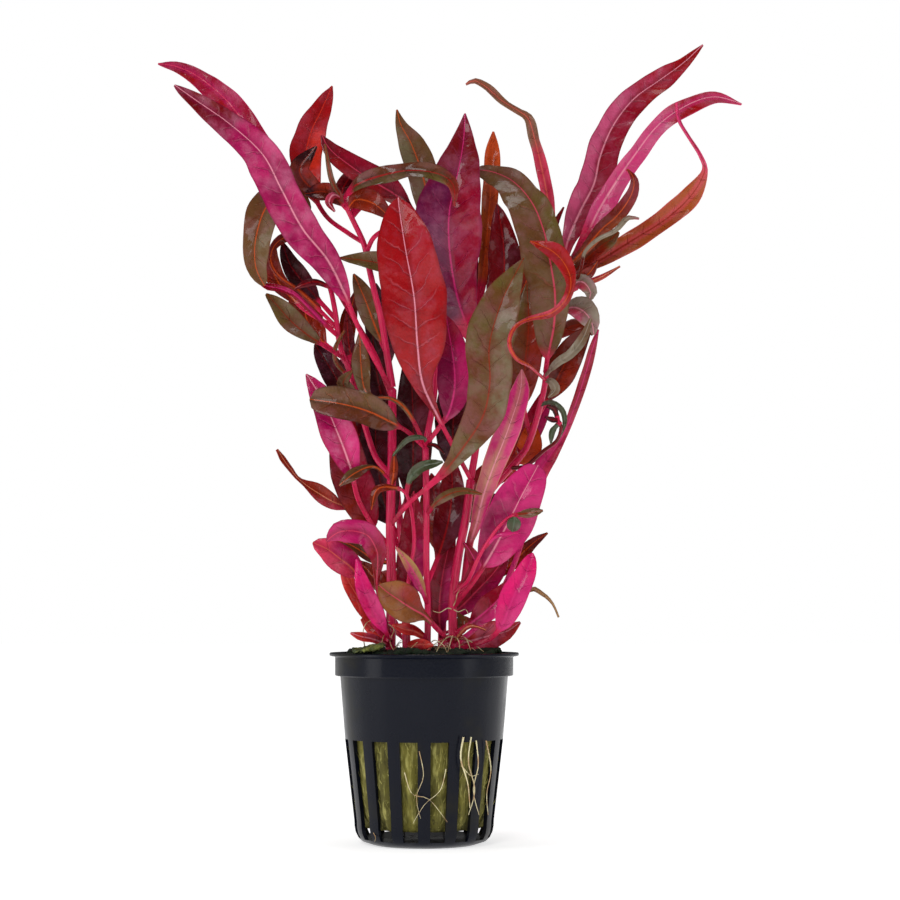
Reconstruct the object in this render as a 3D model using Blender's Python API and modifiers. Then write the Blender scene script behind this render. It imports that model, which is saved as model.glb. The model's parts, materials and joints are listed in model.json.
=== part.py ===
"""Alternanthera reineckii, a red aquarium plant, growing out of a small net pot.

The origin is the middle of the pot's flat base, +Z is up and -Y is the side that
is seen in the usual view. Lengths in the tables are millimetres. A leaf or stem is
described as it is seen from the front: how far it lies right of the pot's axis and
above the pot's base, and how far behind (+) or in front (-) of the axis it grows.
"""
import math
from dataclasses import dataclass

import bmesh
import bpy
from mathutils import Quaternion, Vector

MM = 0.001

# The eye of the usual view, which the places in the tables are seen from
EYE_DISTANCE = 680.0
EYE_HEIGHT = 69.0

# Net pot
RIM_RADIUS = 27.0
RIM_TOP = 54.0
RIM_THICKNESS = 0.9
COLLAR_RADIUS = 25.4
COLLAR_BOTTOM = 47.5
BODY_RADIUS = 23.9
SLOT_TOP = 29.7
SLOT_TOP_RADIUS = 22.5
FOOT_RADIUS = 19.8
FOOT_HEIGHT = 6.5
FLAT_RADIUS = 14.8
BASE_THICKNESS = 1.3
WALL = 1.2
FLOOR_CORNER_RADIUS = 4.2
FOOT_CORNER_RADIUS = 4.6
STEP_IN = 0.3
CORNER_STEPS = 2
POT_STEPS = 28
SLOT_COUNT = 16
SLOT_BOTTOM = 1.9
SLOT_WIDTH_TOP = 5.2
SLOT_WIDTH_BOTTOM = 4.2
SLOT_INNER_RADIUS = 15.9
SLOT_DEPTH = 12.0

# Block of mineral wool that the plant roots in
PLUG_GAP = 0.35
PLUG_BOTTOM = 4.6
PLUG_TOP = 53.2
PLUG_ROUNDING = 1.4
PLUG_TAPER = 2.0
PLUG_STEPS = 16

# Leaves and stems
LEAF_THICKNESS = 0.7
PETIOLE_WIDTH = 1.4
TIP_WIDTH = 0.6
LEAF_STEPS = (5, 8)
SMALL_LEAF_STEPS = (3, 4)
STEM_STEPS_PER_MM = 0.12
STEM_STEPS_PER_BEND = 1.15
JOINT_GAP = 0.4
FORWARD = Vector((0.0, -1.0, 0.25))
UPWARD = Vector((0.0, -0.5, 0.87))
WIDE_LEAF = 8.0
FOOT_SHARE = 0.4
SHARE_STEP = 0.005
HEADING_STEP = 0.01
ROUTE_SAMPLES = 48
LONGEST_HIDDEN_SHARE = 0.4
SMOOTH_ANGLE = math.radians(40.0)
MERGE = 0.00001

RED = (0.42, 0.02, 0.02)
CRIMSON = (0.22, 0.01, 0.02)
MAROON = (0.06, 0.01, 0.01)
PLUM = (0.14, 0.02, 0.07)
MAGENTA = (0.50, 0.06, 0.24)
PINK = (0.75, 0.05, 0.25)
SALMON = (0.50, 0.12, 0.08)
RUST = (0.25, 0.06, 0.01)
BROWN = (0.16, 0.07, 0.03)
OLIVE = (0.19, 0.15, 0.08)
GREY_GREEN = (0.12, 0.13, 0.08)
STEM_PINK = (0.70, 0.03, 0.14)
POT_BLACK = (0.008, 0.009, 0.014)
WOOL = (0.22, 0.20, 0.03)


@dataclass
class Stem:
    """A stem from its foot to its end, on an earlier stem if it names one."""

    name: str
    radius: float
    route: list
    on: str = ""
    end_radius: float = 0.0
    colour: tuple = STEM_PINK


@dataclass
class Leaf:
    """A leaf from its stem to its tip. Its width is one number, or one for each place.

    petiole is the share of its length that is stalk. turn is its roll about its own
    midrib in degrees, from base to tip. cup is how far its edges rise towards the
    viewer, as a share of its width, and fullness is lower where its ends are rounder.
    facing is the way that its upper side looks where turn is nought. lean is how much
    wider its right half is than its left, as a share of the half.
    """

    name: str
    on: str
    width: object
    route: list
    colour: tuple = CRIMSON
    petiole: float = 0.2
    turn: tuple = (0.0,)
    cup: float = 0.12
    widest: float = 0.45
    fullness: float = 0.75
    facing: object = FORWARD
    lean: float = 0.0


STEMS = [
    Stem("stem_left", 1.4, [(-9.6, 53.8, -4), (-9.4, 75, -5), (-9.7, 90, -6),
                            (-9.3, 110, -7), (-9.2, 130, -7)], end_radius=1.15),
    Stem("stem_left_upper", 1.0, [(-9.5, 131.5, -7), (-11, 141, -8), (-12.5, 150, -9),
        (-14.5, 158, -10),
                                  (-16.3, 166, -10), (-17.5, 171.5, -10), (-20.5, 178, -10),
                                  (-24, 185, -10)], on="stem_left", end_radius=0.7),
    Stem("stem_left_shoot", 0.85, [(-10.6, 104, -6), (-14, 110, -4), (-16.5, 117, -3), (-19, 126, -3),
                                   (-21.5, 134.5, -4), (-24.3, 142, -5), (-25.4, 150, -5),
                                   (-26.5, 156, -5), (-27.4, 159.5, -5)],
         on="stem_left", end_radius=0.7),
    Stem("stem_centre", 0.9, [(0.9, 53.8, -8), (1, 66, -8), (0.6, 80, -8), (0.6, 95, -9),
                              (0.3, 113.2, -10)]),
    Stem("stem_centre_upper", 0.9, [(0.4, 114.5, -9), (3, 130, -6), (2.5, 148, -4), (0, 165, -4),
                                    (-1, 176, -4)], on="stem_centre", end_radius=0.6),
    Stem("stem_right", 1.2, [(8.2, 53.8, -3), (8.1, 62, -3), (8.1, 68, -3), (8.8, 75, -3.5),
                             (10, 83, -4), (12, 93, -5), (13.4, 104, -6)]),
    Stem("stem_right_upper", 1.0, [(14, 106, -6), (15, 114, -3), (16, 125, 0), (16, 138, 2),
                                   (15, 151, 3)], on="stem_right", end_radius=0.7),
    Stem("stem_right_outer", 1.1, [(8.7, 67, -3), (11.5, 74, 0), (12.8, 84, 1), (15.2, 93, 2),
                                   (19, 100, 3), (24, 106, 3.5), (29, 112, 3), (32, 120, 0),
                                   (34.3, 129, -4), (35, 134.3, -6.5)],
         on="stem_right", end_radius=0.8),
    Stem("stem_right_far", 0.9, [(29, 112, 3), (32, 120, 7.5), (35, 132, 10), (37.5, 146, 10),
        (40, 157, 9),
                                 (41.5, 166, 8)], on="stem_right_outer", end_radius=0.7),
    Stem("stem_back_left", 1.2, [(-5, 53.8, 8), (-6, 80, 12), (-9, 110, 18), (-12, 135, 23)],
         end_radius=0.8),
    Stem("stem_back_right", 1.2, [(5, 53.8, 9), (6, 85, 14), (10, 115, 20), (14, 141, 25)],
         end_radius=0.8),
    Stem("shoot_front_thin", 0.65, [(-5.5, 53.8, -10), (-5.2, 66, -10.5), (-4.3, 76, -11),
        (-2.9, 85, -11.5),
                                    (-3.6, 94, -11.5), (-5.3, 99.5, -11.5), (-7.6, 100.9, -11.5)],
         end_radius=0.5),
    Stem("shoot_front_small", 0.6, [(9.4, 70, -5), (12.5, 74.5, -10), (15.5, 81, -14), (18, 85.3, -16),
                                    (21, 89.5, -18), (24, 92.4, -19), (26.4, 93.5, -19)],
         on="stem_right", end_radius=0.45),
    Stem("shoot_dark_sprig", 0.6, [(25.5, 106.5, 4), (29.5, 107.5, 0), (34, 111.5, -4), (38, 114.6, -8),
                                   (39.3, 118.5, -10), (38.2, 121, -10)], on="stem_right_outer",
         end_radius=0.5, colour=MAROON),
]

LEAVES = [
    Leaf("leaf_top_left_back", "stem_left", 9.5, [
        (-9.3, 127, -6), (-14.5, 140, -3), (-21, 151, -2), (-28, 163, 1), (-37, 179, 5), (-46, 196, 9),
        (-55, 210.5, 13), (-64, 219, 16), (-71, 222.8, 18), (-77, 223.8, 20)],
        MAGENTA, 0.3, (10, -10), fullness=0.6, lean=-0.15),
    Leaf("leaf_top_left_front", "stem_left", 11.0, [
        (-9.3, 129.5, -7), (-14.5, 138.5, -11), (-19, 147.5, -12.5), (-23, 157, -14), (-28, 166.8, -17),
        (-35.2, 175.8, -20), (-41.4, 187.4, -23), (-46.8, 197.4, -26), (-56, 206, -29),
        (-65.6, 212.8, -31), (-72.4, 217.6, -32)], MAGENTA, 0.24, (0, 0), fullness=0.6, lean=-0.15),
    Leaf("leaf_left_red_upright", "stem_left_upper", 9.5, [
        (-17.3, 171.5, -10), (-22, 174.5, -7), (-28, 179, -4), (-32, 186, -2), (-34.3, 196, 1),
        (-32.8, 204, 4), (-30, 210, 7), (-26.8, 217.3, 10)], RED, 0.3),
    Leaf("leaf_middle_shiny", "stem_centre_upper", 9.5, [
        (-1, 174.5, -4), (-3.5, 181.5, -8), (-9, 186, -10), (-14, 189, -11), (-20, 193, -12),
        (-27, 198.5, -12), (-29.8, 203, -12)], RED, 0.15, (15, 15)),
    Leaf("leaf_middle_olive_arch", "stem_left_upper", (1.4, 4, 5, 4.9, 4.4, 3.2, 0.6), [
        (-23.8, 184.5, -10), (-19.5, 188.6, -18), (-12, 191.4, -21), (-4, 192.8, -22.5),
        (4, 191.8, -23), (8.3, 188.6, -23), (8.6, 182.5, -22)], OLIVE, 0.12, (0, 0)),
    Leaf("leaf_middle_brown", "stem_centre_upper", (1.4, 6, 8.8, 8, 3.4, 0.6), [
        (-0.8, 172, -4), (1.2, 180, -1), (-0.2, 190, 2), (-3.6, 200, 5), (-6.8, 206, 8), (-8, 210.4, 10)],
        BROWN, 0.1),
    Leaf("leaf_middle_plum", "stem_right_upper", (1.4, 6, 12, 17, 18.6, 12.5, 7, 0.6), [
        (15.5, 140, 2), (12, 148, -3), (9, 158, -7), (7.2, 170, -10), (7.2, 181, -12), (9.8, 193, -11),
        (11.2, 201, -9), (11.7, 209.4, -7)], PLUM, 0.12, (0, 0)),
    Leaf("leaf_middle_orange_tip", "stem_right_upper", (1.4, 3, 4.4, 4.9, 4.2, 0.6), [
        (15, 150, 3), (17, 163, 6), (18.3, 177, 9), (19.3, 190, 11), (19.7, 198.5, 12),
        (19.9, 204.2, 12)], RUST, 0.15),
    Leaf("leaf_front_red", "stem_right", (1.4, 1.4, 1.6, 6, 14.5, 17.8, 15.5, 8, 1.2), [
        (13.2, 103.5, -6), (8.5, 112.5, -14), (3.8, 121.5, -20), (-0.5, 131, -24), (-2, 142, -27),
        (-3, 156, -29), (-5.5, 170, -30), (-7.2, 181, -29), (-7.6, 184.7, -28)], RED, 0.22, (0, 0)),

    Leaf("leaf_left_drooping", "stem_left_shoot", 10.0, [
        (-27.3, 159, -5), (-30.6, 171.6, -5), (-35.8, 182.8, -6), (-41.6, 186.4, -9), (-46.2, 181, -12),
        (-48.7, 172, -14), (-48.5, 164.5, -14), (-46, 159.3, -13)],
        BROWN, 0.3, (0, 20), fullness=0.5, lean=-0.15),
    Leaf("leaf_left_rust_long", "stem_left_shoot", 9.5, [
        (-23.2, 139, -4), (-28.5, 142.3, 0), (-33, 147.5, 1.5), (-34.8, 153.5, 2), (-35.2, 158.5, 2),
        (-34.5, 163, 1.5)], RUST, 0.2),
    Leaf("leaf_left_olive", "stem_left_shoot", 7.0, [
        (-22.9, 138.5, -4.5), (-28.7, 141.7, -15), (-34, 145.2, -15), (-38.5, 149, -13.5),
        (-42, 153, -13),
        (-45.6, 156.8, -12)], OLIVE, 0.35, (0, 30), fullness=0.55),
    Leaf("leaf_left_dark", "stem_left_shoot", 7.5, [
        (-18, 122.5, -3), (-22.5, 128, 2), (-26.5, 134.5, 3), (-31.5, 142.3, 4)], MAROON, 0.15),
    Leaf("leaf_left_brown_oval", "stem_centre", 9.8, [
        (0.3, 112.6, -10), (-5, 117.2, -15), (-9.5, 119.8, -18), (-15, 122.5, -20), (-20, 124.2, -21),
        (-26, 125.5, -21), (-32.9, 126.4, -20)], BROWN, 0.26, (0, 0), widest=0.55, fullness=0.55),
    Leaf("leaf_left_pink", "stem_left", 9.6, [
        (-9.8, 84, -5), (-15, 90.5, -6), (-19, 98, -8), (-20.8, 105.5, -11), (-23, 112, -13),
        (-25, 117, -14), (-28, 124, -14), (-31.5, 130, -13), (-33.9, 133.6, -12)], MAGENTA, 0.35),
    Leaf("leaf_left_crimson_broad", "stem_left", 11.5, [
        (-9.6, 79, -5), (-14.5, 88, -0.5), (-18.8, 98, 1), (-21.7, 107, 1.5), (-22.5, 115, 1.5),
        (-21.5, 122, 1)], CRIMSON, 0.2, fullness=0.55),
    Leaf("leaf_left_inner", "stem_back_left", 11.0, [
        (-6, 80, 12), (-10, 92, 9), (-13, 105, 7), (-14, 117, 7), (-12.5, 128, 8)], MAROON, 0.15),
    Leaf("leaf_left_narrow", "stem_back_left", (1.2, 1.2, 1.3, 4.4, 4.8, 1.7, 2.4, 2.3, 0.6), [
        (-6, 75, 11.5), (-14.5, 87, 8), (-20.8, 94.5, 4), (-26, 96.9, 0), (-31, 99.8, -2),
        (-36, 103.3, -3), (-38.7, 106.6, -3), (-41, 109.8, -3), (-42.3, 112, -3)], SALMON, 0.0,
         (0, 0, 0, 25, 40)),
    Leaf("leaf_left_hood", "stem_left", (1.2, 1.2, 1.3, 3.4, 5.6, 6.6, 6.8, 6, 3, 0.6), [
        (-9.6, 58, -4.5), (-11.7, 64.5, -14.5), (-13.5, 73, -15.5), (-13.3, 79.5, -16),
        (-13.6, 83, -17),
        (-16, 87.2, -19), (-20, 88.6, -21), (-24, 88.5, -21), (-26.6, 87, -20), (-27.8, 85.8, -19)],
         CRIMSON, 0.0, (0, 0, -20)),
    Leaf("leaf_low_left_salmon", "stem_left", 8.0, [
        (-9.6, 57, -4.5), (-13.5, 65, -6.5), (-17, 71.5, -9), (-20, 77.2, -12), (-24, 80.6, -15),
        (-28, 83.6, -16), (-31.9, 85.3, -16)], SALMON, 0.5, fullness=0.55),
    Leaf("leaf_low_left_red", "stem_left", 5.0, [
        (-9.6, 55.5, -4.5), (-14.5, 62, -3), (-18.5, 69, -4), (-21.5, 74, -5), (-23.6, 78.5, -6)],
         RED, 0.2, fullness=0.6),
    Leaf("leaf_low_left_pink", "stem_left", 5.2, [
        (-9.2, 56.5, -5), (-10.5, 59, -15), (-14, 65, -19), (-16.8, 71, -21), (-18.3, 76, -21),
        (-19.4, 80.5, -20)], PINK, 0.3),
    Leaf("leaf_low_front_oval", "stem_right", (1.4, 1.4, 2.4, 8.6, 10, 8, 1.2), [
        (8, 56.5, -3.5), (4, 60.3, -13), (0.3, 64.2, -18), (-3.4, 66.4, -21), (-6.8, 68.6, -23.5),
        (-10.6, 71.2, -24.5), (-13, 73.2, -25)], SALMON, 0.38, (0, 0)),

    Leaf("leaf_front_olive", "stem_left", (1.4, 1.4, 1.6, 2.6, 6.8, 10.6, 12, 13.2, 12.6, 9.6, 5, 0.6), [
        (-9.5, 90, -6), (-4, 97, -15), (1, 101.2, -19), (5.5, 105.3, -21), (11.5, 113, -25),
        (16.8, 121.5, -28), (18.8, 131, -31), (18.6, 141, -32), (20.3, 149, -32), (23, 156.5, -31),
        (26, 162.4, -30), (28.6, 167.2, -28)], OLIVE, 0.25, (0, 0)),
    Leaf("leaf_front_magenta", "stem_centre", 10.0, [
        (0.4, 113, -10), (4, 118, -13), (7, 122.5, -15), (8.7, 130, -16), (8.3, 138, -16),
        (6.2, 150.7, -14)], MAGENTA, 0.2),
    Leaf("leaf_middle_dark_red", "stem_right_upper", 10.0, [
        (16.2, 136, 2), (20.5, 147, 2), (22.7, 159, 2), (22.8, 171, 3), (21, 183, 4)], CRIMSON, 0.15),
    Leaf("leaf_right_rust_inner", "stem_right_far", 9.5, [
        (30.5, 116, 5.5), (28.5, 125, 4), (29, 137, 3), (30, 148, 3), (29.5, 160, 4)], RUST, 0.15),
    Leaf("leaf_centre_crimson", "stem_centre", 8.5, [
        (0.7, 73, -8), (4.2, 82, -3), (7, 92, 1), (8, 102, 2.5), (7.3, 111, 3)], CRIMSON, 0.15),

    Leaf("leaf_right_twisted", "stem_right_far", (1.3, 1.8, 3.4, 3.6, 3.6, 3.4, 3, 2.6, 2.8, 2.7, 2, 0.6), [
        (39, 153, 9.5), (37.2, 166, 6), (36.3, 178, 2), (35.2, 187, 1), (33.6, 195, 0),
        (31.8, 202.6, 0), (30, 208, -1), (27, 210.3, -1), (22, 213.4, -1), (18, 217, -1),
        (14.5, 219, -1), (12, 218, -1)], RUST, 0.0, (0, 20, 0, -30, 30, 0)),
    Leaf("leaf_top_right_broad", "stem_right_far", (1.4, 1.8, 4, 9, 10.4, 9.6, 8.9, 8.4, 7, 4, 0.6), [
        (40.3, 157, 9), (40.3, 165.5, 4), (41.4, 172.5, 2.6), (45, 181, 3.6), (49, 189, 6), (50.8, 197, 8),
        (54.6, 206, 11), (60.6, 213.8, 14), (68.2, 219.4, 17), (75, 224.4, 19), (80.7, 229.7, 21)],
        MAGENTA, 0.1, (0, 0), lean=0.1),
    Leaf("leaf_top_right_arching", "stem_right_far", (1.4, 3.6, 6.2, 6, 5.2, 5.2, 5.6, 4, 0.6), [
        (41.4, 165.8, 8), (46, 172.5, 0.2), (50.2, 181, 0), (55, 189, 0), (60.5, 197, 1),
        (67.5, 206, 4), (76, 212, 8), (84, 214.5, 11), (91.8, 212.4, 14)],
        MAGENTA, 0.15, (0, 0), lean=0.2),
    Leaf("leaf_top_right_curled", "stem_right_far", (1.4, 2.6, 4.4, 4.4, 4.2, 4, 3, 0.6), [
        (41.1, 164, 8.3), (46, 169.6, 0), (51, 175.6, -4), (54.8, 178.9, -5.5), (57.6, 182.2, -8),
        (60, 186.5, -11), (60.4, 190.3, -14), (58.6, 193.2, -16)], CRIMSON, 0.0, (0, 10, 30)),
    Leaf("leaf_right_olive_arch", "stem_right_outer", 12.4, [
        (35, 134.3, -6.5), (36, 141, -11), (37.3, 148, -14), (37.6, 157, -17), (36.3, 166, -19),
        (34.5, 175, -18), (31, 183.5, -14), (25.5, 189.7, -8), (19, 192.6, -3), (14.5, 192.8, 0)],
        OLIVE, 0.04, (0, 0), fullness=0.5, lean=-0.29),
    Leaf("leaf_right_rust_curl", "stem_right_far", (1.5, 4.6, 6, 6.4, 5.8, 2, 1.5, 1.7, 1.9, 0.6), [
        (40.9, 162, 8.5), (50.4, 166.6, 8), (59.8, 172.4, 6), (70, 178.9, 3), (77.2, 185.8, 0),
        (80.9, 192.6, -3), (79.6, 197.5, -5), (76, 203.5, -7), (73.6, 208, -8), (73, 212.8, -8)],
        RUST, 0.0, (0, 0, 0, 20, 60)),
    Leaf("leaf_right_looped", "stem_right_outer",
         (1.2, 1.2, 1.2, 1.2, 1.2, 1.3, 2.2, 2.5, 2.6, 4.6, 5.2, 0.6), [
             (34.8, 132.6, -6), (30.5, 135.9, -27), (26.3, 138.3, -36), (24.4, 142.8, -38.5),
             (26, 147.3, -37), (30, 149.7, -33), (36, 151.3, -29), (40.5, 155, -27), (42.2, 160, -26),
             (40.8, 165, -26), (37, 169.3, -26), (30.5, 172.2, -25)], RED, 0.0, (0, 0, 0, 0, 40, 0, 0)),
    Leaf("leaf_right_dark_rust", "stem_right_far", 9.0, [
        (32.5, 121, 8), (36, 128, 5), (39, 134, 4), (42, 139.5, 4), (45, 144, 3), (48, 147.7, 3)],
         RUST, 0.1),
    Leaf("leaf_right_pink_narrow", "stem_right_outer", (1.4, 3.2, 5, 6.2, 6.8, 6.6, 5.2, 0.6), [
        (12.8, 83, 1), (15, 91, -7), (17, 99, -11), (19.8, 107, -15), (23, 115, -18), (25.5, 122, -19),
        (27.6, 129, -19), (28, 135, -18)], MAGENTA, 0.0),
    Leaf("leaf_right_long_thin", "stem_right",
        (1.6, 1.6, 1.6, 1.6, 1.8, 3, 5, 4.8, 2.4, 2.6, 2.6, 2.4, 0.6), [
        (8.5, 55.5, -3), (18.5, 64.5, 5), (22.5, 72, 6), (26, 80, 6), (28.5, 88, 6), (30.4, 97, 6),
        (33, 105.3, 5.5), (36, 110.2, 5), (39.6, 115.6, 4), (43.4, 125, 3), (46.3, 134, 2),
        (48.3, 141, 1), (50, 146.7, 1)], RUST, 0.0, (0, 0, 20)),
    Leaf("leaf_low_right_pink", "stem_right", 13.6, [
        (8.2, 66.5, -3), (13.2, 73, -8), (17, 78.5, -10), (20.5, 84.5, -12), (24, 91, -14),
        (27.5, 98, -15), (30.5, 103.5, -14), (32.6, 107.4, -12)],
        MAGENTA, 0.28, (0, 0), widest=0.5, fullness=0.55),
    Leaf("leaf_low_right_rust", "stem_back_right", 4.6, [
        (5.5, 65, 10.5), (15, 69, 12.5), (22, 76.5, 12), (27, 81.3, 11), (31, 85, 9), (35.3, 88.1, 8)],
         RUST, 0.45),
    Leaf("leaf_low_right_hot_pink", "stem_right", 7.6, [
        (8.5, 54.8, -4), (14, 56.2, -10), (19, 58, -13), (22, 61.5, -15), (23.8, 65.5, -16),
        (26, 71, -16), (29, 76.5, -15), (31, 82.3, -13)], PINK, 0.4, (0, 0), fullness=0.6),
    Leaf("leaf_low_right_crimson", "stem_right", 7.0, [
        (8.4, 58.5, -3.5), (14, 62.8, -7.5), (18, 66, -9), (21.5, 69.5, -9), (25.4, 75, -8)],
         RED, 0.2),
    Leaf("leaf_back_tall", "stem_back_right", 13.0, [
        (14, 141, 25), (12, 154, 31), (9, 169, 37), (8, 184, 41), (9, 198, 42)], CRIMSON, 0.1,
         facing=UPWARD),
    Leaf("leaf_back_right", "stem_back_right", 12.0, [
        (13.5, 137, 24), (23, 149, 32), (30, 162, 39), (33, 175, 43), (32.5, 186, 44)], RUST, 0.12,
         facing=UPWARD),
]

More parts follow.
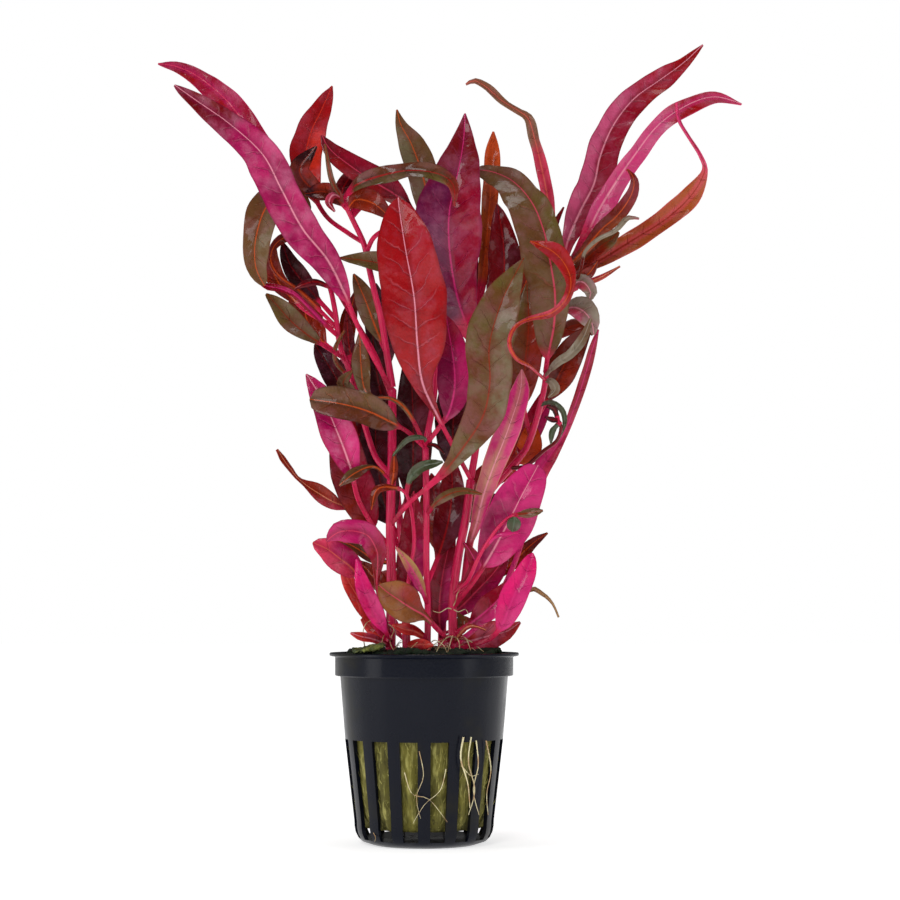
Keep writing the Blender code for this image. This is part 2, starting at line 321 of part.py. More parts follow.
# Small leaves, fused to the stem that they grow from
SMALL_LEAVES = [
    Leaf("maroon", "stem_left_upper", 6.0, [
        (-22.6, 182, -10), (-28.5, 185, -11), (-34.2, 189, -13), (-36, 193.5, -13), (-31.2, 199.8, -12)],
        MAROON),
    Leaf("top_narrow", "stem_left_upper", 1.6, [
        (-23.5, 184, -10), (-26.8, 190, -15), (-28.8, 200.5, -17)], petiole=0.0),
    Leaf("top_rust", "stem_left_upper", 6.6, [
        (-21.8, 181, -10), (-19.6, 184.2, -14.5), (-14.5, 183, -17), (-9.5, 178.6, -17.5)],
        RUST, petiole=0.1),
    Leaf("top_dark", "stem_left_upper", 5.5, [
        (-22, 181, -10), (-28, 186.3, -12.5), (-34.6, 185.8, -14)], MAROON),
    Leaf("right_petiole", "stem_left_upper", 2.0, [
        (-16.6, 168.5, -10), (-14.8, 173, -12), (-11.5, 175.5, -13), (-8, 176.5, -14)],
         PINK, petiole=0.6),
    Leaf("brown_edge", "stem_left_upper", 6.5, [
        (-11, 139, -8), (-14, 147, -4), (-17, 155, -3), (-20.4, 162.7, -3)], BROWN),
    Leaf("grey_side", "stem_centre_upper", 6.0, [
        (0, 163.5, -4), (-7, 164.7, -10), (-13, 165.8, -13), (-19, 166.8, -14),
        (-24.4, 167.3, -14)], OLIVE),
    Leaf("crimson_bar", "stem_left_shoot", (1.2, 2, 2, 0.6), [
        (-27.3, 159, -5), (-31, 160.3, -7), (-34.5, 159.7, -8), (-37.3, 158.3, -8)]),
    Leaf("crimson_long", "stem_left_shoot", (1.3, 1.5, 1.6, 1.6, 2, 2.6, 0.6), [
        (-25, 144.5, -5), (-29, 148.4, -8.5), (-33, 152.5, -10), (-37, 156.3, -11), (-41, 158.2, -11),
        (-44.5, 158.9, -11), (-47.2, 159.7, -10)], RED),
    Leaf("curled_rim", "stem_left_shoot", (1.2, 1.2, 1.4, 1.3, 1.4, 2.2, 3, 2.2), [
        (-25.2, 147, -5), (-29, 151, -5), (-35.5, 157.3, -6), (-41.5, 161.7, -7), (-44.2, 166, -7),
        (-43.4, 170.5, -6), (-40, 173.4, -5), (-36, 173.8, -4)], RUST),
    Leaf("rust_inner", "stem_left_shoot", 5.5, [
        (-25, 147, -5), (-34, 152, -3), (-42, 160, -1.5), (-43.8, 166, -2), (-43.3, 172, -2)], RUST,
         petiole=0.4),
    Leaf("dark_inner", "stem_left_shoot", 6.0, [
        (-25.3, 149.5, -5), (-33, 158, -0.5), (-38.5, 165, 0), (-41, 172, 0)], MAROON, petiole=0.3),
    Leaf("crimson_upright", "stem_left_shoot", 3.6, [
        (-20.5, 131, -3.5), (-20.9, 137, -2), (-21.8, 143, -2), (-22.4, 151.3, -2)]),
    Leaf("grey_rim", "stem_left_shoot", (1, 1.3, 1.4, 0.6), [
        (-20.8, 132.5, -4), (-25, 136.5, -6), (-25.7, 141, -7), (-23, 146.3, -7)], OLIVE),
    Leaf("olive_curl", "stem_left_shoot", 3.6, [
        (-19, 126, -3), (-21.5, 128.8, -6), (-23.4, 131.2, -7), (-20.6, 134.8, -8)], OLIVE),
    Leaf("grey_upright", "stem_centre", (1.3, 1.3, 1.4, 1.3, 1.5, 3.4, 5.2, 0.6), [
        (0.3, 112.8, -10), (-3, 120, -12), (-6.5, 124.8, -12), (-10.5, 126.8, -12), (-15, 127, -12),
        (-17.4, 130, -11), (-18.3, 137.5, -11), (-18.6, 146, -10)], OLIVE),
    Leaf("dark_twig", "stem_centre", 1.4, [(0.4, 113, -10), (3, 113.2, -13), (5.7, 110.8, -14)],
         MAROON),
    Leaf("brown_pointed", "stem_left", (0.9, 1, 1.3, 3.6, 3, 0.6), [
        (-9.5, 103, -6.5), (-12.6, 106, -10), (-15.3, 107, -12), (-19, 105.7, -14), (-22, 103.7, -15),
        (-24.3, 101.6, -15)], BROWN),
    Leaf("rust_on_stem", "stem_left", 2.4, [
        (-9.4, 100.5, -6.5), (-9, 103.5, -10), (-8.7, 107, -10.5), (-8.7, 111.5, -10)], RUST),
    Leaf("green_strip", "stem_centre", 1.8, [
        (0.3, 113.1, -10), (-0.3, 115.3, -15), (-5, 114.7, -18), (-9, 110.2, -19)], GREY_GREEN),
    Leaf("low_knob", "stem_left", (1.4, 2.4, 2.8, 0.6), [
        (-9.7, 56, -4), (-14.5, 57.7, -10), (-18, 58.5, -13), (-21, 59.5, -14)], SALMON),
    Leaf("low_pink_bud", "stem_left", 2.6, [
        (-9.7, 60.5, -4.3), (-12, 63, -9.7), (-14.9, 68.7, -11.5)], PINK),
    Leaf("olive_narrow", "stem_centre", 3.0, [
        (0.6, 93.2, -9), (4, 97.2, -14), (8, 99.5, -16), (12, 100.1, -17), (16.5, 99.2, -17)], OLIVE),
    Leaf("pink_yellow", "stem_centre", 3.4, [
        (1, 67, -8), (-1.5, 74, -14), (-4.2, 78.8, -16), (-8.1, 84, -17)], MAGENTA),
    Leaf("curled_down", "shoot_front_thin", 2.6, [
        (-6.5, 100.5, -11.5), (-11.5, 101.2, -14), (-14, 99.8, -15), (-15.1, 94.7, -15)],
         RUST, petiole=0.1),
    Leaf("grey_green", "shoot_front_thin", 3.6, [
        (-5.3, 99.5, -11.5), (-4, 103.7, -13), (-1, 106.8, -14), (5.3, 108.5, -14)], GREY_GREEN),
    Leaf("rolled_crimson", "stem_right", 4.2, [
        (8.6, 72, -3.2), (12.5, 74.5, -3.6), (14.8, 78.5, -4.8), (13.3, 82.5, -6.4), (11.2, 85.4, -7)]),
    Leaf("orange_arc", "stem_right", 1.5, [
        (8.3, 57, -3.2), (12, 61, -11), (15, 61.3, -12), (17.6, 60.3, -12)], SALMON),
    Leaf("brown_hook", "stem_back_right", 1.8, [
        (5, 57, 9), (18, 64.5, 8), (29.5, 71.7, 5), (33.5, 70.8, 4), (36.6, 68, 4), (38.4, 64, 4)],
         BROWN),
    Leaf("tip_olive", "shoot_front_small", 2.8, [(25.5, 93.2, -19), (30, 93.8, -19),
        (34, 94.5, -19)], OLIVE),
    Leaf("tip_green", "shoot_front_small", 4.0, [(25.9, 93.4, -19), (25.7, 91, -19.5),
        (25.2, 88.5, -19)], GREY_GREEN),
    Leaf("side_pink", "shoot_front_small", 1.3, [(17.2, 84, -15.5), (21, 87.4, -17),
        (27, 88.2, -17)], PINK),
    Leaf("orange_behind", "stem_right_outer", 7.5, [
        (25.5, 107.5, 3.5), (28.2, 109, 7.5), (30.2, 113.2, 8.5), (30.8, 119.8, 8.5)], RUST),
    Leaf("grey_strip", "stem_right_outer", (1.2, 2.6, 3, 2.8, 0.8), [
        (35, 133.8, -6.3), (38.5, 137.3, -17), (42, 139.5, -18), (45.5, 143.8, -17),
        (47.9, 149.8, -15)], OLIVE),
    Leaf("green_curl", "stem_right_outer", 1.8, [
        (33, 124.8, -1.5), (36.5, 125.6, -5), (39.6, 123.3, -6), (40.3, 119.5, -6),
        (39, 115.8, -6)], GREY_GREEN,
         petiole=0.0),
    Leaf("crumpled_top", "stem_right_far", (1.3, 4.4, 5.2, 4, 0.8), [
        (40, 155.5, 9), (43.3, 160, 5), (46, 160.2, 3), (47.9, 157.4, 2), (47.3, 155, 2)], SALMON),
    Leaf("crumpled_low", "stem_right_far", (1.3, 6.4, 7.4, 5, 0.8), [
        (38.8, 151.5, 9.5), (43, 153, 3.6), (46.2, 151.6, -1), (48.2, 148.6, -1.6), (48.8, 145.2, -1.6)],
        MAGENTA),
    Leaf("thin_curly", "stem_right_far", (1, 1, 1, 1.1, 1.2, 1.4, 1.7, 0.5), [
        (40.5, 158.6, 8.9), (43.4, 160.2, 6.5), (45.2, 164.8, -1), (46.3, 169.2, -7), (50, 172.8, -9),
        (55.4, 175.6, -9.5), (58.6, 179, -9), (62, 178.9, -9)], RUST, petiole=0.45),
    Leaf("stub_rust", "stem_right_far", 3.6, [
        (40.3, 158.5, 9), (44, 160.5, 6), (47.5, 163, 5), (50, 166.5, 5)], RUST, petiole=0.1),
    Leaf("spike_pink", "stem_right_far", 1.7, [
        (40.6, 160, 8.8), (45, 159.8, 9), (50.5, 161.6, 9), (56.4, 165, 9)], PINK),
    Leaf("sprig_a", "shoot_dark_sprig", 1.8, [(38.3, 120.9, -10), (37.3, 123.5, -11),
        (35.2, 124.4, -12)], MAROON),
    Leaf("sprig_b", "shoot_dark_sprig", 1.8, [(38.6, 120, -10), (36.4, 120.6, -12),
        (34.8, 121.4, -13)], MAROON),
    Leaf("sprig_c", "shoot_dark_sprig", 1.8, [(38.9, 119.6, -10), (36.8, 117.3, -12),
        (36.3, 113.8, -13)], MAROON),
    Leaf("back_low_left", "stem_back_left", 9.5, [
        (-5.6, 66, 10), (-9, 72, 19), (-12, 76, 28), (-13.5, 76.5, 36), (-14, 74, 43)],
         RED, facing=UPWARD),
    Leaf("back_mid_left", "stem_back_left", 10.5, [
        (-7.5, 96, 15.5), (-12, 101, 24), (-16, 106, 31), (-18.5, 111, 37), (-19, 117, 41)],
         facing=UPWARD),
    Leaf("back_high_left", "stem_back_left", 9.5, [
        (-9.3, 113, 18.5), (-14, 120, 26), (-18.5, 127, 32), (-22, 133, 36), (-24, 138, 38)], MAGENTA,
         facing=UPWARD),
    Leaf("back_top_left", "stem_back_left", 12.0, [
        (-12, 134.5, 23), (-10, 145, 30), (-6, 157, 36), (-4, 169, 40), (-4.5, 181, 41)],
         RUST, petiole=0.1,
         facing=UPWARD),
    Leaf("back_low_right", "stem_back_right", 10.5, [
        (5.3, 64, 10.5), (6, 70, 20), (7, 73, 29), (8, 73.5, 38), (8.5, 71, 45)],
         SALMON, facing=UPWARD),
    Leaf("back_mid", "stem_back_right", 11.5, [
        (5.8, 78, 13), (5, 84, 23), (4, 91, 33), (3, 98, 41), (2, 105, 47)], facing=UPWARD),
    Leaf("back_mid_right", "stem_back_right", 10.5, [
        (6.8, 92, 15.5), (13.5, 98, 24), (20, 104, 31), (25, 110, 36), (28, 117, 39)],
         RED, facing=UPWARD),
    Leaf("back_high_right", "stem_back_right", 9.5, [
        (11.5, 124, 22), (19, 131, 30), (26, 136, 36), (32, 139, 40), (37, 139.5, 43)],
         RUST, facing=UPWARD),
    Leaf("rose_crinkled", "stem_back_right", (1.4, 4.4, 8, 8, 5, 0.8), [
        (5.1, 56.5, 9), (12, 57, 8.5), (16.5, 58.2, 7.5), (20.5, 59.2, 6.5), (24, 60.2, 5.5),
        (27.4, 62.6, 4.5)], SALMON),
    Leaf("foot_red", "stem_centre", (1.2, 2.6, 3.4, 0.8), [
        (0.9, 58.4, -8), (-2.5, 59.8, -11.5), (-5.8, 60.6, -14), (-9, 61.8, -15.5)], RED),
    Leaf("foot_rust", "shoot_front_thin", (1.1, 2.6, 3, 0.8), [
        (-5.5, 55.2, -10), (-3.2, 55.9, -12.8), (-0.4, 56.3, -14), (2.6, 56, -14.2)], RUST),
    Leaf("back_side_left", "stem_back_left", 9.0, [
        (-9.2, 111, 18.3), (-16, 115, 19), (-24, 118.5, 17), (-31, 123.5, 14)], CRIMSON),
    Leaf("back_inner_left", "stem_back_left", 8.5, [
        (-6.8, 87, 13.5), (-13, 95, 15), (-20, 101, 14), (-24, 108, 12)], MAROON),
    Leaf("back_upper_left", "stem_back_left", 8.5, [
        (-11, 128, 21.5), (-12, 140, 17), (-13.5, 150, 14), (-14, 160, 13)], MAROON),
    Leaf("back_side_right", "stem_back_right", 8.5, [
        (9.6, 112, 19.5), (16, 119, 20), (22.5, 129, 17), (26, 140, 14)], CRIMSON),
    Leaf("back_inner_right", "stem_back_right", 8.0, [
        (6.6, 88.5, 14.8), (13, 93.5, 17), (20, 96, 17), (26, 98, 15)], MAROON),
    Leaf("back_upper_right", "stem_back_right", 9.0, [
        (13.6, 138, 24.5), (8, 149, 20), (3, 160, 16), (-1, 172, 14)], MAROON),
    Leaf("back_foot_left", "stem_back_left", 7.0, [
        (-5.2, 58, 8.6), (-10, 61, 15), (-14, 63, 22), (-16.5, 62, 28)], SALMON, facing=UPWARD),
    Leaf("back_foot_right", "stem_back_right", 7.0, [
        (5.2, 58.5, 9.8), (11, 61.5, 16), (16, 62.5, 22), (19, 61, 28)], RED, facing=UPWARD),
    Leaf("inner_dark_left", "stem_back_left", 11, [
        (-7.6, 93, 15), (-3.8, 101, 8), (-3.2, 112, 4.2), (-3.4, 126, 4.2), (-4.4, 141, 5)],
        MAROON, petiole=0.12),
    Leaf("inner_crimson_left", "stem_back_left", 8.5, [
        (-5.4, 65, 10), (-4.5, 72, 3.5), (-3.5, 81, 1), (-3, 91, 1), (-3, 100, 2)], CRIMSON,
         petiole=0.12),
    Leaf("inner_red_right", "stem_back_right", 7.0, [
        (5.1, 57.5, 9.2), (4.3, 64, 4), (4.8, 73, 2.5), (6.5, 82, 3), (8.5, 90, 4)], RED, petiole=0.1),
    Leaf("inner_rose_right", "stem_back_right", 8.0, [
        (5.4, 62, 10), (10, 66.5, 8.5), (15, 71.5, 8), (20.5, 77.5, 8), (24.5, 84, 8)], SALMON,
         petiole=0.1),
    Leaf("inner_dark_right", "stem_back_right", 11, [
        (8.6, 103, 18), (8.2, 109, 12), (8.2, 118, 9.5), (9, 129, 9.5), (10.5, 141, 10)],
        MAROON, petiole=0.12),
    Leaf("hood_shadow", "stem_left", 3.4, [
        (-9.8, 79.5, -5), (-14.5, 80.5, 0), (-18.5, 83.2, 1), (-22, 85, 1), (-25.5, 85.7, 0)], BROWN,
         petiole=0.1),
    Leaf("foot_brown", "stem_left", 5.2, [
        (-9.8, 71.5, -5), (-13, 74, 0), (-16, 77.2, 2), (-19, 80.2, 3)], BROWN, petiole=0.1),
    Leaf("dark_between", "stem_back_left", 8.0, [
        (-10.3, 120.5, 20.2), (-12, 126, 15), (-13.7, 134, 11), (-14.7, 142, 9.5), (-14.7, 150, 9)],
         MAROON, petiole=0.12),
    Leaf("side_crimson", "stem_right_outer", 6.5, [
        (27, 109.4, 3.3), (28.3, 112.5, 9.5), (31.3, 119, 14.5), (34.4, 126, 16), (37.5, 132.5, 16)],
         CRIMSON, petiole=0.1),
    Leaf("curl_small", "stem_left_upper", (1, 2, 2.2, 0.6), [
        (-23.6, 184.6, -10), (-26.2, 185.6, -13.5), (-27.6, 183.4, -14.5), (-25.9, 180.8, -14.5)],
        SALMON),
    Leaf("top_shadow", "stem_left_upper", (1.3, 4.6, 5.4, 4, 0.6), [
        (-21.2, 179.5, -10), (-18, 184, -7.5), (-13.4, 186.6, -6.5), (-8.6, 185.4, -6.5),
        (-4.6, 183, -6.5)], CRIMSON),
    Leaf("brown_back", "stem_right_far", (1.3, 3.6, 4.6, 3.8, 0.6), [
        (41, 161.5, 8.5), (46.6, 166.8, 6), (51, 170.8, 3.5), (54, 173, 3), (56.2, 175, 2.5)], BROWN),
    Leaf("spike_red", "stem_right_far", (1.2, 1.6, 2.2, 0.6), [
        (41.2, 164, 8.5), (39, 169.6, 13), (37.4, 175.6, 14), (40.2, 182.2, 14)], CRIMSON),
    Leaf("curled_cup", "stem_right_outer", (1, 2.4, 2.8, 0.6), [
        (34.7, 131.6, -5), (36.6, 131.4, -7.8), (37.6, 129.2, -8.6), (35.6, 127, -8.6)], OLIVE),
    Leaf("foot_side_brown", "stem_right", (1.1, 2.6, 3, 0.7), [
        (8.2, 58.8, -3), (10.6, 60.4, 1), (11, 62.6, 2), (9.6, 65.2, 2.4)], BROWN),
    Leaf("foot_coral", "stem_left", (1.2, 3, 3.4, 0.8), [
        (-9.6, 58, -4), (-12.6, 59.2, -1), (-15.4, 61.2, 0), (-18, 63.6, 0)], SALMON),
    Leaf("top_dark_up", "stem_left_upper", (1.3, 4.4, 4.6, 0.6), [
        (-22.6, 182, -10), (-23.8, 186.4, -7), (-21.4, 190.8, -5), (-17, 193.6, -4)], CRIMSON),
    Leaf("brown_low_right", "stem_right_far", (1.2, 4.2, 4.6, 3, 0.6), [
        (37.2, 144, 10), (40.4, 146.4, 13), (43.6, 148, 14), (46.4, 147.4, 14), (48.4, 145, 14)], BROWN),
    Leaf("brown_low_left", "stem_left_shoot", (1.3, 4, 4.6, 0.6), [
        (-21.8, 135.2, -4), (-22.4, 142, 0), (-21.6, 150, 1), (-19.6, 158.4, 1)], RUST),
]


def seen(place):
    """Turn a place of the tables, as it is seen and its depth, into a point in metres."""
    x, z, depth = place
    eye = Vector((0.0, -EYE_DISTANCE, EYE_HEIGHT))
    flat = Vector((x, 0.0, z))
    return (eye + (flat - eye) * (EYE_DISTANCE + depth) / EYE_DISTANCE) * MM


def shares(points):
    """Give each point's share of the whole length, from 0 to 1."""
    lengths = [0.0]
    for first, second in zip(points, points[1:]):
        lengths.append(lengths[-1] + (second - first).length)
    return [length / lengths[-1] for length in lengths]


def segment(points, share):
    """Find the stretch that a share of the length falls in, and how far along it."""
    marks = shares(points)
    share = min(max(share, 0.0), 1.0)
    index = 0
    while index < len(points) - 2 and share > marks[index + 1]:
        index += 1
    return index, (share - marks[index]) / (marks[index + 1] - marks[index])


def along(points, share):
    """Give the point at a share of a smooth curve through the points."""
    index, t = segment(points, share)
    before = points[max(index - 1, 0)]
    start = points[index]
    end = points[index + 1]
    after = points[min(index + 2, len(points) - 1)]
    curve = 2 * start + (end - before) * t
    curve += (2 * before - 5 * start + 4 * end - after) * t ** 2
    curve += (3 * start - before - 3 * end + after) * t ** 3
    return 0.5 * curve


def heading(points, share):
    """Give the direction of the curve at a share of its length."""
    ahead = along(points, min(share + HEADING_STEP, 1.0))
    behind = along(points, max(share - HEADING_STEP, 0.0))
    return (ahead - behind).normalized()


def spread(values, share):
    """Read a value at a share of a list that is spread evenly from 0 to 1."""
    if len(values) == 1:
        return values[0]
    place = share * (len(values) - 1)
    index = min(int(place), len(values) - 2)
    return values[index] + (values[index + 1] - values[index]) * (place - index)


def nearest_on(points, target):
    """Give the place on a route that is nearest to a point, and its share of the length."""
    marks = [index / ROUTE_SAMPLES for index in range(ROUTE_SAMPLES + 1)]
    best = min(marks, key=lambda share: (along(points, share) - target).length)
    return along(points, best), best


def material(name, colour, roughness=0.4):
    """Make a plain material of one colour."""
    made = bpy.data.materials.get(name)
    if made is None:
        made = bpy.data.materials.new(name)
        made.use_nodes = True
        shader = made.node_tree.nodes["Principled BSDF"]
        shader.inputs["Base Color"].default_value = (*colour, 1.0)
        shader.inputs["Roughness"].default_value = roughness
        shader.inputs["Metallic"].default_value = 0.0
    return made


def leaf_material(colour):
    """Make the material of the leaves and stems of one colour."""
    return material("plant_" + "_".join(f"{round(part * 100):02d}" for part in colour), colour)


def smooth(mesh):
    """Shade a mesh smooth, apart from its sharp edges."""
    mesh.shade_smooth()
    mesh.set_sharp_from_angle(angle=SMOOTH_ANGLE)


def leaf_steps(leaf, limits):
    """Give the number of faces along a leaf: one for each stretch, within limits."""
    fewest, most = limits
    return min(max(len(leaf.route) - 1, fewest), most)


def add_object(name, mesh, collection, finish):
    """Put a mesh in a collection under the name of its sub-part."""
    made = bpy.data.objects.new(name, mesh)
    mesh.materials.clear()
    mesh.materials.append(finish)
    collection.objects.link(made)
    return made


def as_helper(made):
    """Mark an object as a cutter or operand that is no part of the model."""
    made.hide_render = True
    made.display_type = "WIRE"
    return made


def stem_radius(stem, share):
    """Give a stem's radius in metres at a share of its length."""
    return spread((stem.radius, stem.end_radius or stem.radius), share) * MM


def clear_start(route, parent, parent_route, reach):
    """Start a route where it has come clear of the stem that it grows from."""
    axis, _ = nearest_on(parent_route, route[0])
    whole = [axis] + route[1:]
    share = 0.0
    distance = 0.0
    while distance < reach and share < LONGEST_HIDDEN_SHARE:
        share += SHARE_STEP
        point = along(whole, share)
        near, place = nearest_on(parent_route, point)
        distance = (point - near).length - stem_radius(parent, place)
    marks = shares(whole)
    started = [along(whole, share)]
    for index, point in enumerate(whole[1:], start=1):
        started.append(point if marks[index] > share else along(whole, share + SHARE_STEP * index))
    return started


def rooted(leaf, stem, stem_route):
    """Give a small leaf's route, with its foot just past the axis of the stem it is fused to."""
    route = [seen(place) for place in leaf.route]
    axis, place = nearest_on(stem_route, route[0])
    inward = (axis - route[1]).normalized()
    route[0] = axis + inward * stem_radius(stem, place) * FOOT_SHARE
    return route


def stem_mesh(stem, route, collection):
    """Make a round stem that tapers along its route, as a closed mesh."""
    length = sum((b - a).length for a, b in zip(route, route[1:])) / MM
    count = max(round(STEM_STEPS_PER_BEND * (len(route) - 1)), round(length * STEM_STEPS_PER_MM))
    curve = bpy.data.curves.new(stem.name, "CURVE")
    curve.dimensions = "3D"
    curve.bevel_depth = 1.0 * MM
    curve.bevel_resolution = 1
    curve.use_fill_caps = True
    spline = curve.splines.new("POLY")
    spline.points.add(count)
    for index, point in enumerate(spline.points):
        share = index / count
        point.co = (*along(route, share), 1.0)
        point.radius = stem_radius(stem, share) / MM
    tube = bpy.data.objects.new(stem.name + "_curve", curve)
    collection.objects.link(tube)
    bpy.context.view_layer.update()
    evaluated = tube.evaluated_get(bpy.context.evaluated_depsgraph_get())
    mesh = bpy.data.meshes.new_from_object(evaluated)
    mesh.name = stem.name
    work = bmesh.new()
    work.from_mesh(mesh)
    bmesh.ops.remove_doubles(work, verts=work.verts, dist=MERGE)
    work.to_mesh(mesh)
    work.free()
    smooth(mesh)
    bpy.data.objects.remove(tube)
    return mesh


def leaf_width(leaf, route, share):
    """Give a leaf's width in metres at a share of its length."""
    if isinstance(leaf.width, tuple):
        index, t = segment(route, share)
        return (leaf.width[index] + (leaf.width[index + 1] - leaf.width[index]) * t) * MM
    if share <= leaf.petiole:
        return PETIOLE_WIDTH * MM
    blade = (share - leaf.petiole) / (1.0 - leaf.petiole)
    rise = (blade / leaf.widest) ** leaf.fullness
    fall = ((1.0 - blade) / (1.0 - leaf.widest)) ** (leaf.fullness * (1.0 - leaf.widest) / leaf.widest)
    least = PETIOLE_WIDTH + (TIP_WIDTH - PETIOLE_WIDTH) * blade
    return max(leaf.width * rise * fall, least) * MM


def leaf_mesh(leaf, route, across, steps):
    """Make a leaf's open surface, turned and cupped along its midrib."""
    work = bmesh.new()
    bmesh.ops.create_grid(work, x_segments=across, y_segments=steps, size=1.0)
    for vert in work.verts:
        side, share = vert.co.x, (vert.co.y + 1.0) / 2.0
        direction = heading(route, share)
        sideways = direction.cross(leaf.facing).normalized()
        sideways.rotate(Quaternion(direction, math.radians(spread(leaf.turn, share))))
        towards = sideways.cross(direction)
        width = leaf_width(leaf, route, share)
        lift = leaf.cup * width * abs(side)
        across = (side + leaf.lean * abs(side)) * width / 2.0
        vert.co = along(route, share) + sideways * across + towards * lift
    mesh = bpy.data.meshes.new(leaf.name)
    work.to_mesh(mesh)
    work.free()
    smooth(mesh)
    return mesh


def solidify(made):
    """Give an open leaf its thickness, half to each side."""
    wall = made.modifiers.new("thickness", "SOLIDIFY")
    wall.thickness = LEAF_THICKNESS * MM
    wall.offset = 0.0


def make_leaf(leaf, route, collection, across, steps):
    """Make one leaf as its own solid."""
    mesh = leaf_mesh(leaf, route, across, steps)
    made = add_object(leaf.name, mesh, collection, leaf_material(leaf.colour))
    solidify(made)
    return made


def corner(centre_radius, centre_height, radius, first, last):
    """List the points of a round corner of the pot's profile."""
    points = []
    for index in range(CORNER_STEPS + 1):
        angle = math.radians(first + (last - first) * index / CORNER_STEPS)
        outward = centre_radius + radius * math.cos(angle)
        points.append((outward, centre_height + radius * math.sin(angle)))
    return points


def pot_profile():
    """List the pot's profile from the middle of its floor, over the rim, to its underside."""
    inside = [(0.0, BASE_THICKNESS)]
    floor_corner = FLOOR_CORNER_RADIUS - WALL / 3
    inside += corner(FLAT_RADIUS, BASE_THICKNESS + FLOOR_CORNER_RADIUS, floor_corner, -80, -10)
    inside += [(SLOT_TOP_RADIUS - WALL, SLOT_TOP), (BODY_RADIUS - WALL, COLLAR_BOTTOM - WALL / 2)]
    inside += [(COLLAR_RADIUS - WALL, COLLAR_BOTTOM + WALL / 2), (COLLAR_RADIUS - WALL, RIM_TOP)]
    outside = [(RIM_RADIUS, RIM_TOP), (RIM_RADIUS, RIM_TOP - RIM_THICKNESS)]
    outside += [(COLLAR_RADIUS, RIM_TOP - RIM_THICKNESS - STEP_IN), (COLLAR_RADIUS, COLLAR_BOTTOM)]
    outside += [(BODY_RADIUS, COLLAR_BOTTOM - STEP_IN), (SLOT_TOP_RADIUS, SLOT_TOP),
        (FOOT_RADIUS, FOOT_HEIGHT)]
    outside += corner(FLAT_RADIUS, FOOT_CORNER_RADIUS, FOOT_CORNER_RADIUS, -10, -75)
    return inside + outside + [(FLAT_RADIUS, 0.0), (0.0, 0.0)]


def turned(name, profile, steps, collection, finish):
    """Turn a profile about the upright axis into a closed solid."""
    work = bmesh.new()
    verts = [work.verts.new((radius * MM, 0.0, height * MM)) for radius, height in profile]
    for first, second in zip(verts, verts[1:]):
        work.edges.new((first, second))
    mesh = bpy.data.meshes.new(name)
    work.to_mesh(mesh)
    work.free()
    made = add_object(name, mesh, collection, finish)
    screw = made.modifiers.new("turn", "SCREW")
    screw.steps = steps
    screw.render_steps = steps
    screw.use_merge_vertices = True
    screw.merge_threshold = MERGE
    screw.use_smooth_shade = True
    return made


def slot_cutter(collection):
    """Make the sixteen tapered blocks that cut the pot's slots, as one cutter."""
    work = bmesh.new()
    for number in range(SLOT_COUNT):
        angle = math.radians(-90.0 + (number + 0.5) * 360.0 / SLOT_COUNT)
        outward = Vector((math.cos(angle), math.sin(angle), 0.0))
        sideways = Vector((-outward.y, outward.x, 0.0))
        block = bmesh.ops.create_cube(work, size=2.0)["verts"]
        for vert in block:
            top = vert.co.z > 0.0
            width = SLOT_WIDTH_TOP if top else SLOT_WIDTH_BOTTOM
            height = SLOT_TOP if top else SLOT_BOTTOM
            reach = SLOT_INNER_RADIUS + (vert.co.x + 1.0) / 2.0 * SLOT_DEPTH
            vert.co = outward * reach * MM + sideways * vert.co.y * width / 2.0 * MM
            vert.co.z = height * MM
    mesh = bpy.data.meshes.new("slot_cutter")
    work.to_mesh(mesh)
    work.free()
    return as_helper(add_object("slot_cutter", mesh, collection, material("pot_black", POT_BLACK)))


def make_pot(collection, helpers):
    """Make the net pot: a turned cup with a collar and rim, cut by sixteen slots."""
    pot = turned("pot", pot_profile(), POT_STEPS, collection, material("pot_black", POT_BLACK, 0.3))
    cut = pot.modifiers.new("slots", "BOOLEAN")
    cut.operation = "DIFFERENCE"
    cut.solver = "EXACT"
    cut.object = slot_cutter(helpers)


def make_plug(collection):
    """Make the block of mineral wool that fills the pot from just above its floor."""
    room = WALL + PLUG_GAP
    top = COLLAR_RADIUS - room - PLUG_ROUNDING / 2
    foot = FOOT_RADIUS - room
    profile = [(0.0, PLUG_TOP), (top - PLUG_ROUNDING, PLUG_TOP), (top, PLUG_TOP - PLUG_ROUNDING)]
    profile += [(BODY_RADIUS - room, COLLAR_BOTTOM - PLUG_ROUNDING), (SLOT_TOP_RADIUS - room, SLOT_TOP)]
    profile += [(foot, FOOT_HEIGHT + PLUG_TAPER), (foot - PLUG_TAPER, PLUG_BOTTOM + PLUG_ROUNDING)]
    profile += [(foot - 2 * PLUG_TAPER, PLUG_BOTTOM), (0.0, PLUG_BOTTOM)]
    turned("rockwool_plug", profile, PLUG_STEPS, collection, material("wool", WOOL, 0.9))


def fuse_small_leaves(made, stem, route, helpers):
    """Join the small leaves of a stem to it in one solid."""
    fused = bpy.data.collections.new(stem.name + "_leaves")
    helpers.children.link(fused)
    for leaf in SMALL_LEAVES:
        if leaf.on == stem.name:
            wide = not isinstance(leaf.width, tuple) and leaf.width > WIDE_LEAF
            across = 2 if wide else 1
            steps = leaf_steps(leaf, SMALL_LEAF_STEPS) + (1 if wide else 0)
            as_helper(make_leaf(leaf, rooted(leaf, stem, route), fused, across, steps))
    if fused.objects:
        join = made.modifiers.new("small_leaves", "BOOLEAN")
        join.operation = "UNION"
        join.solver = "EXACT"
        join.operand_type = "COLLECTION"
        join.collection = fused
        join.material_mode = "TRANSFER"


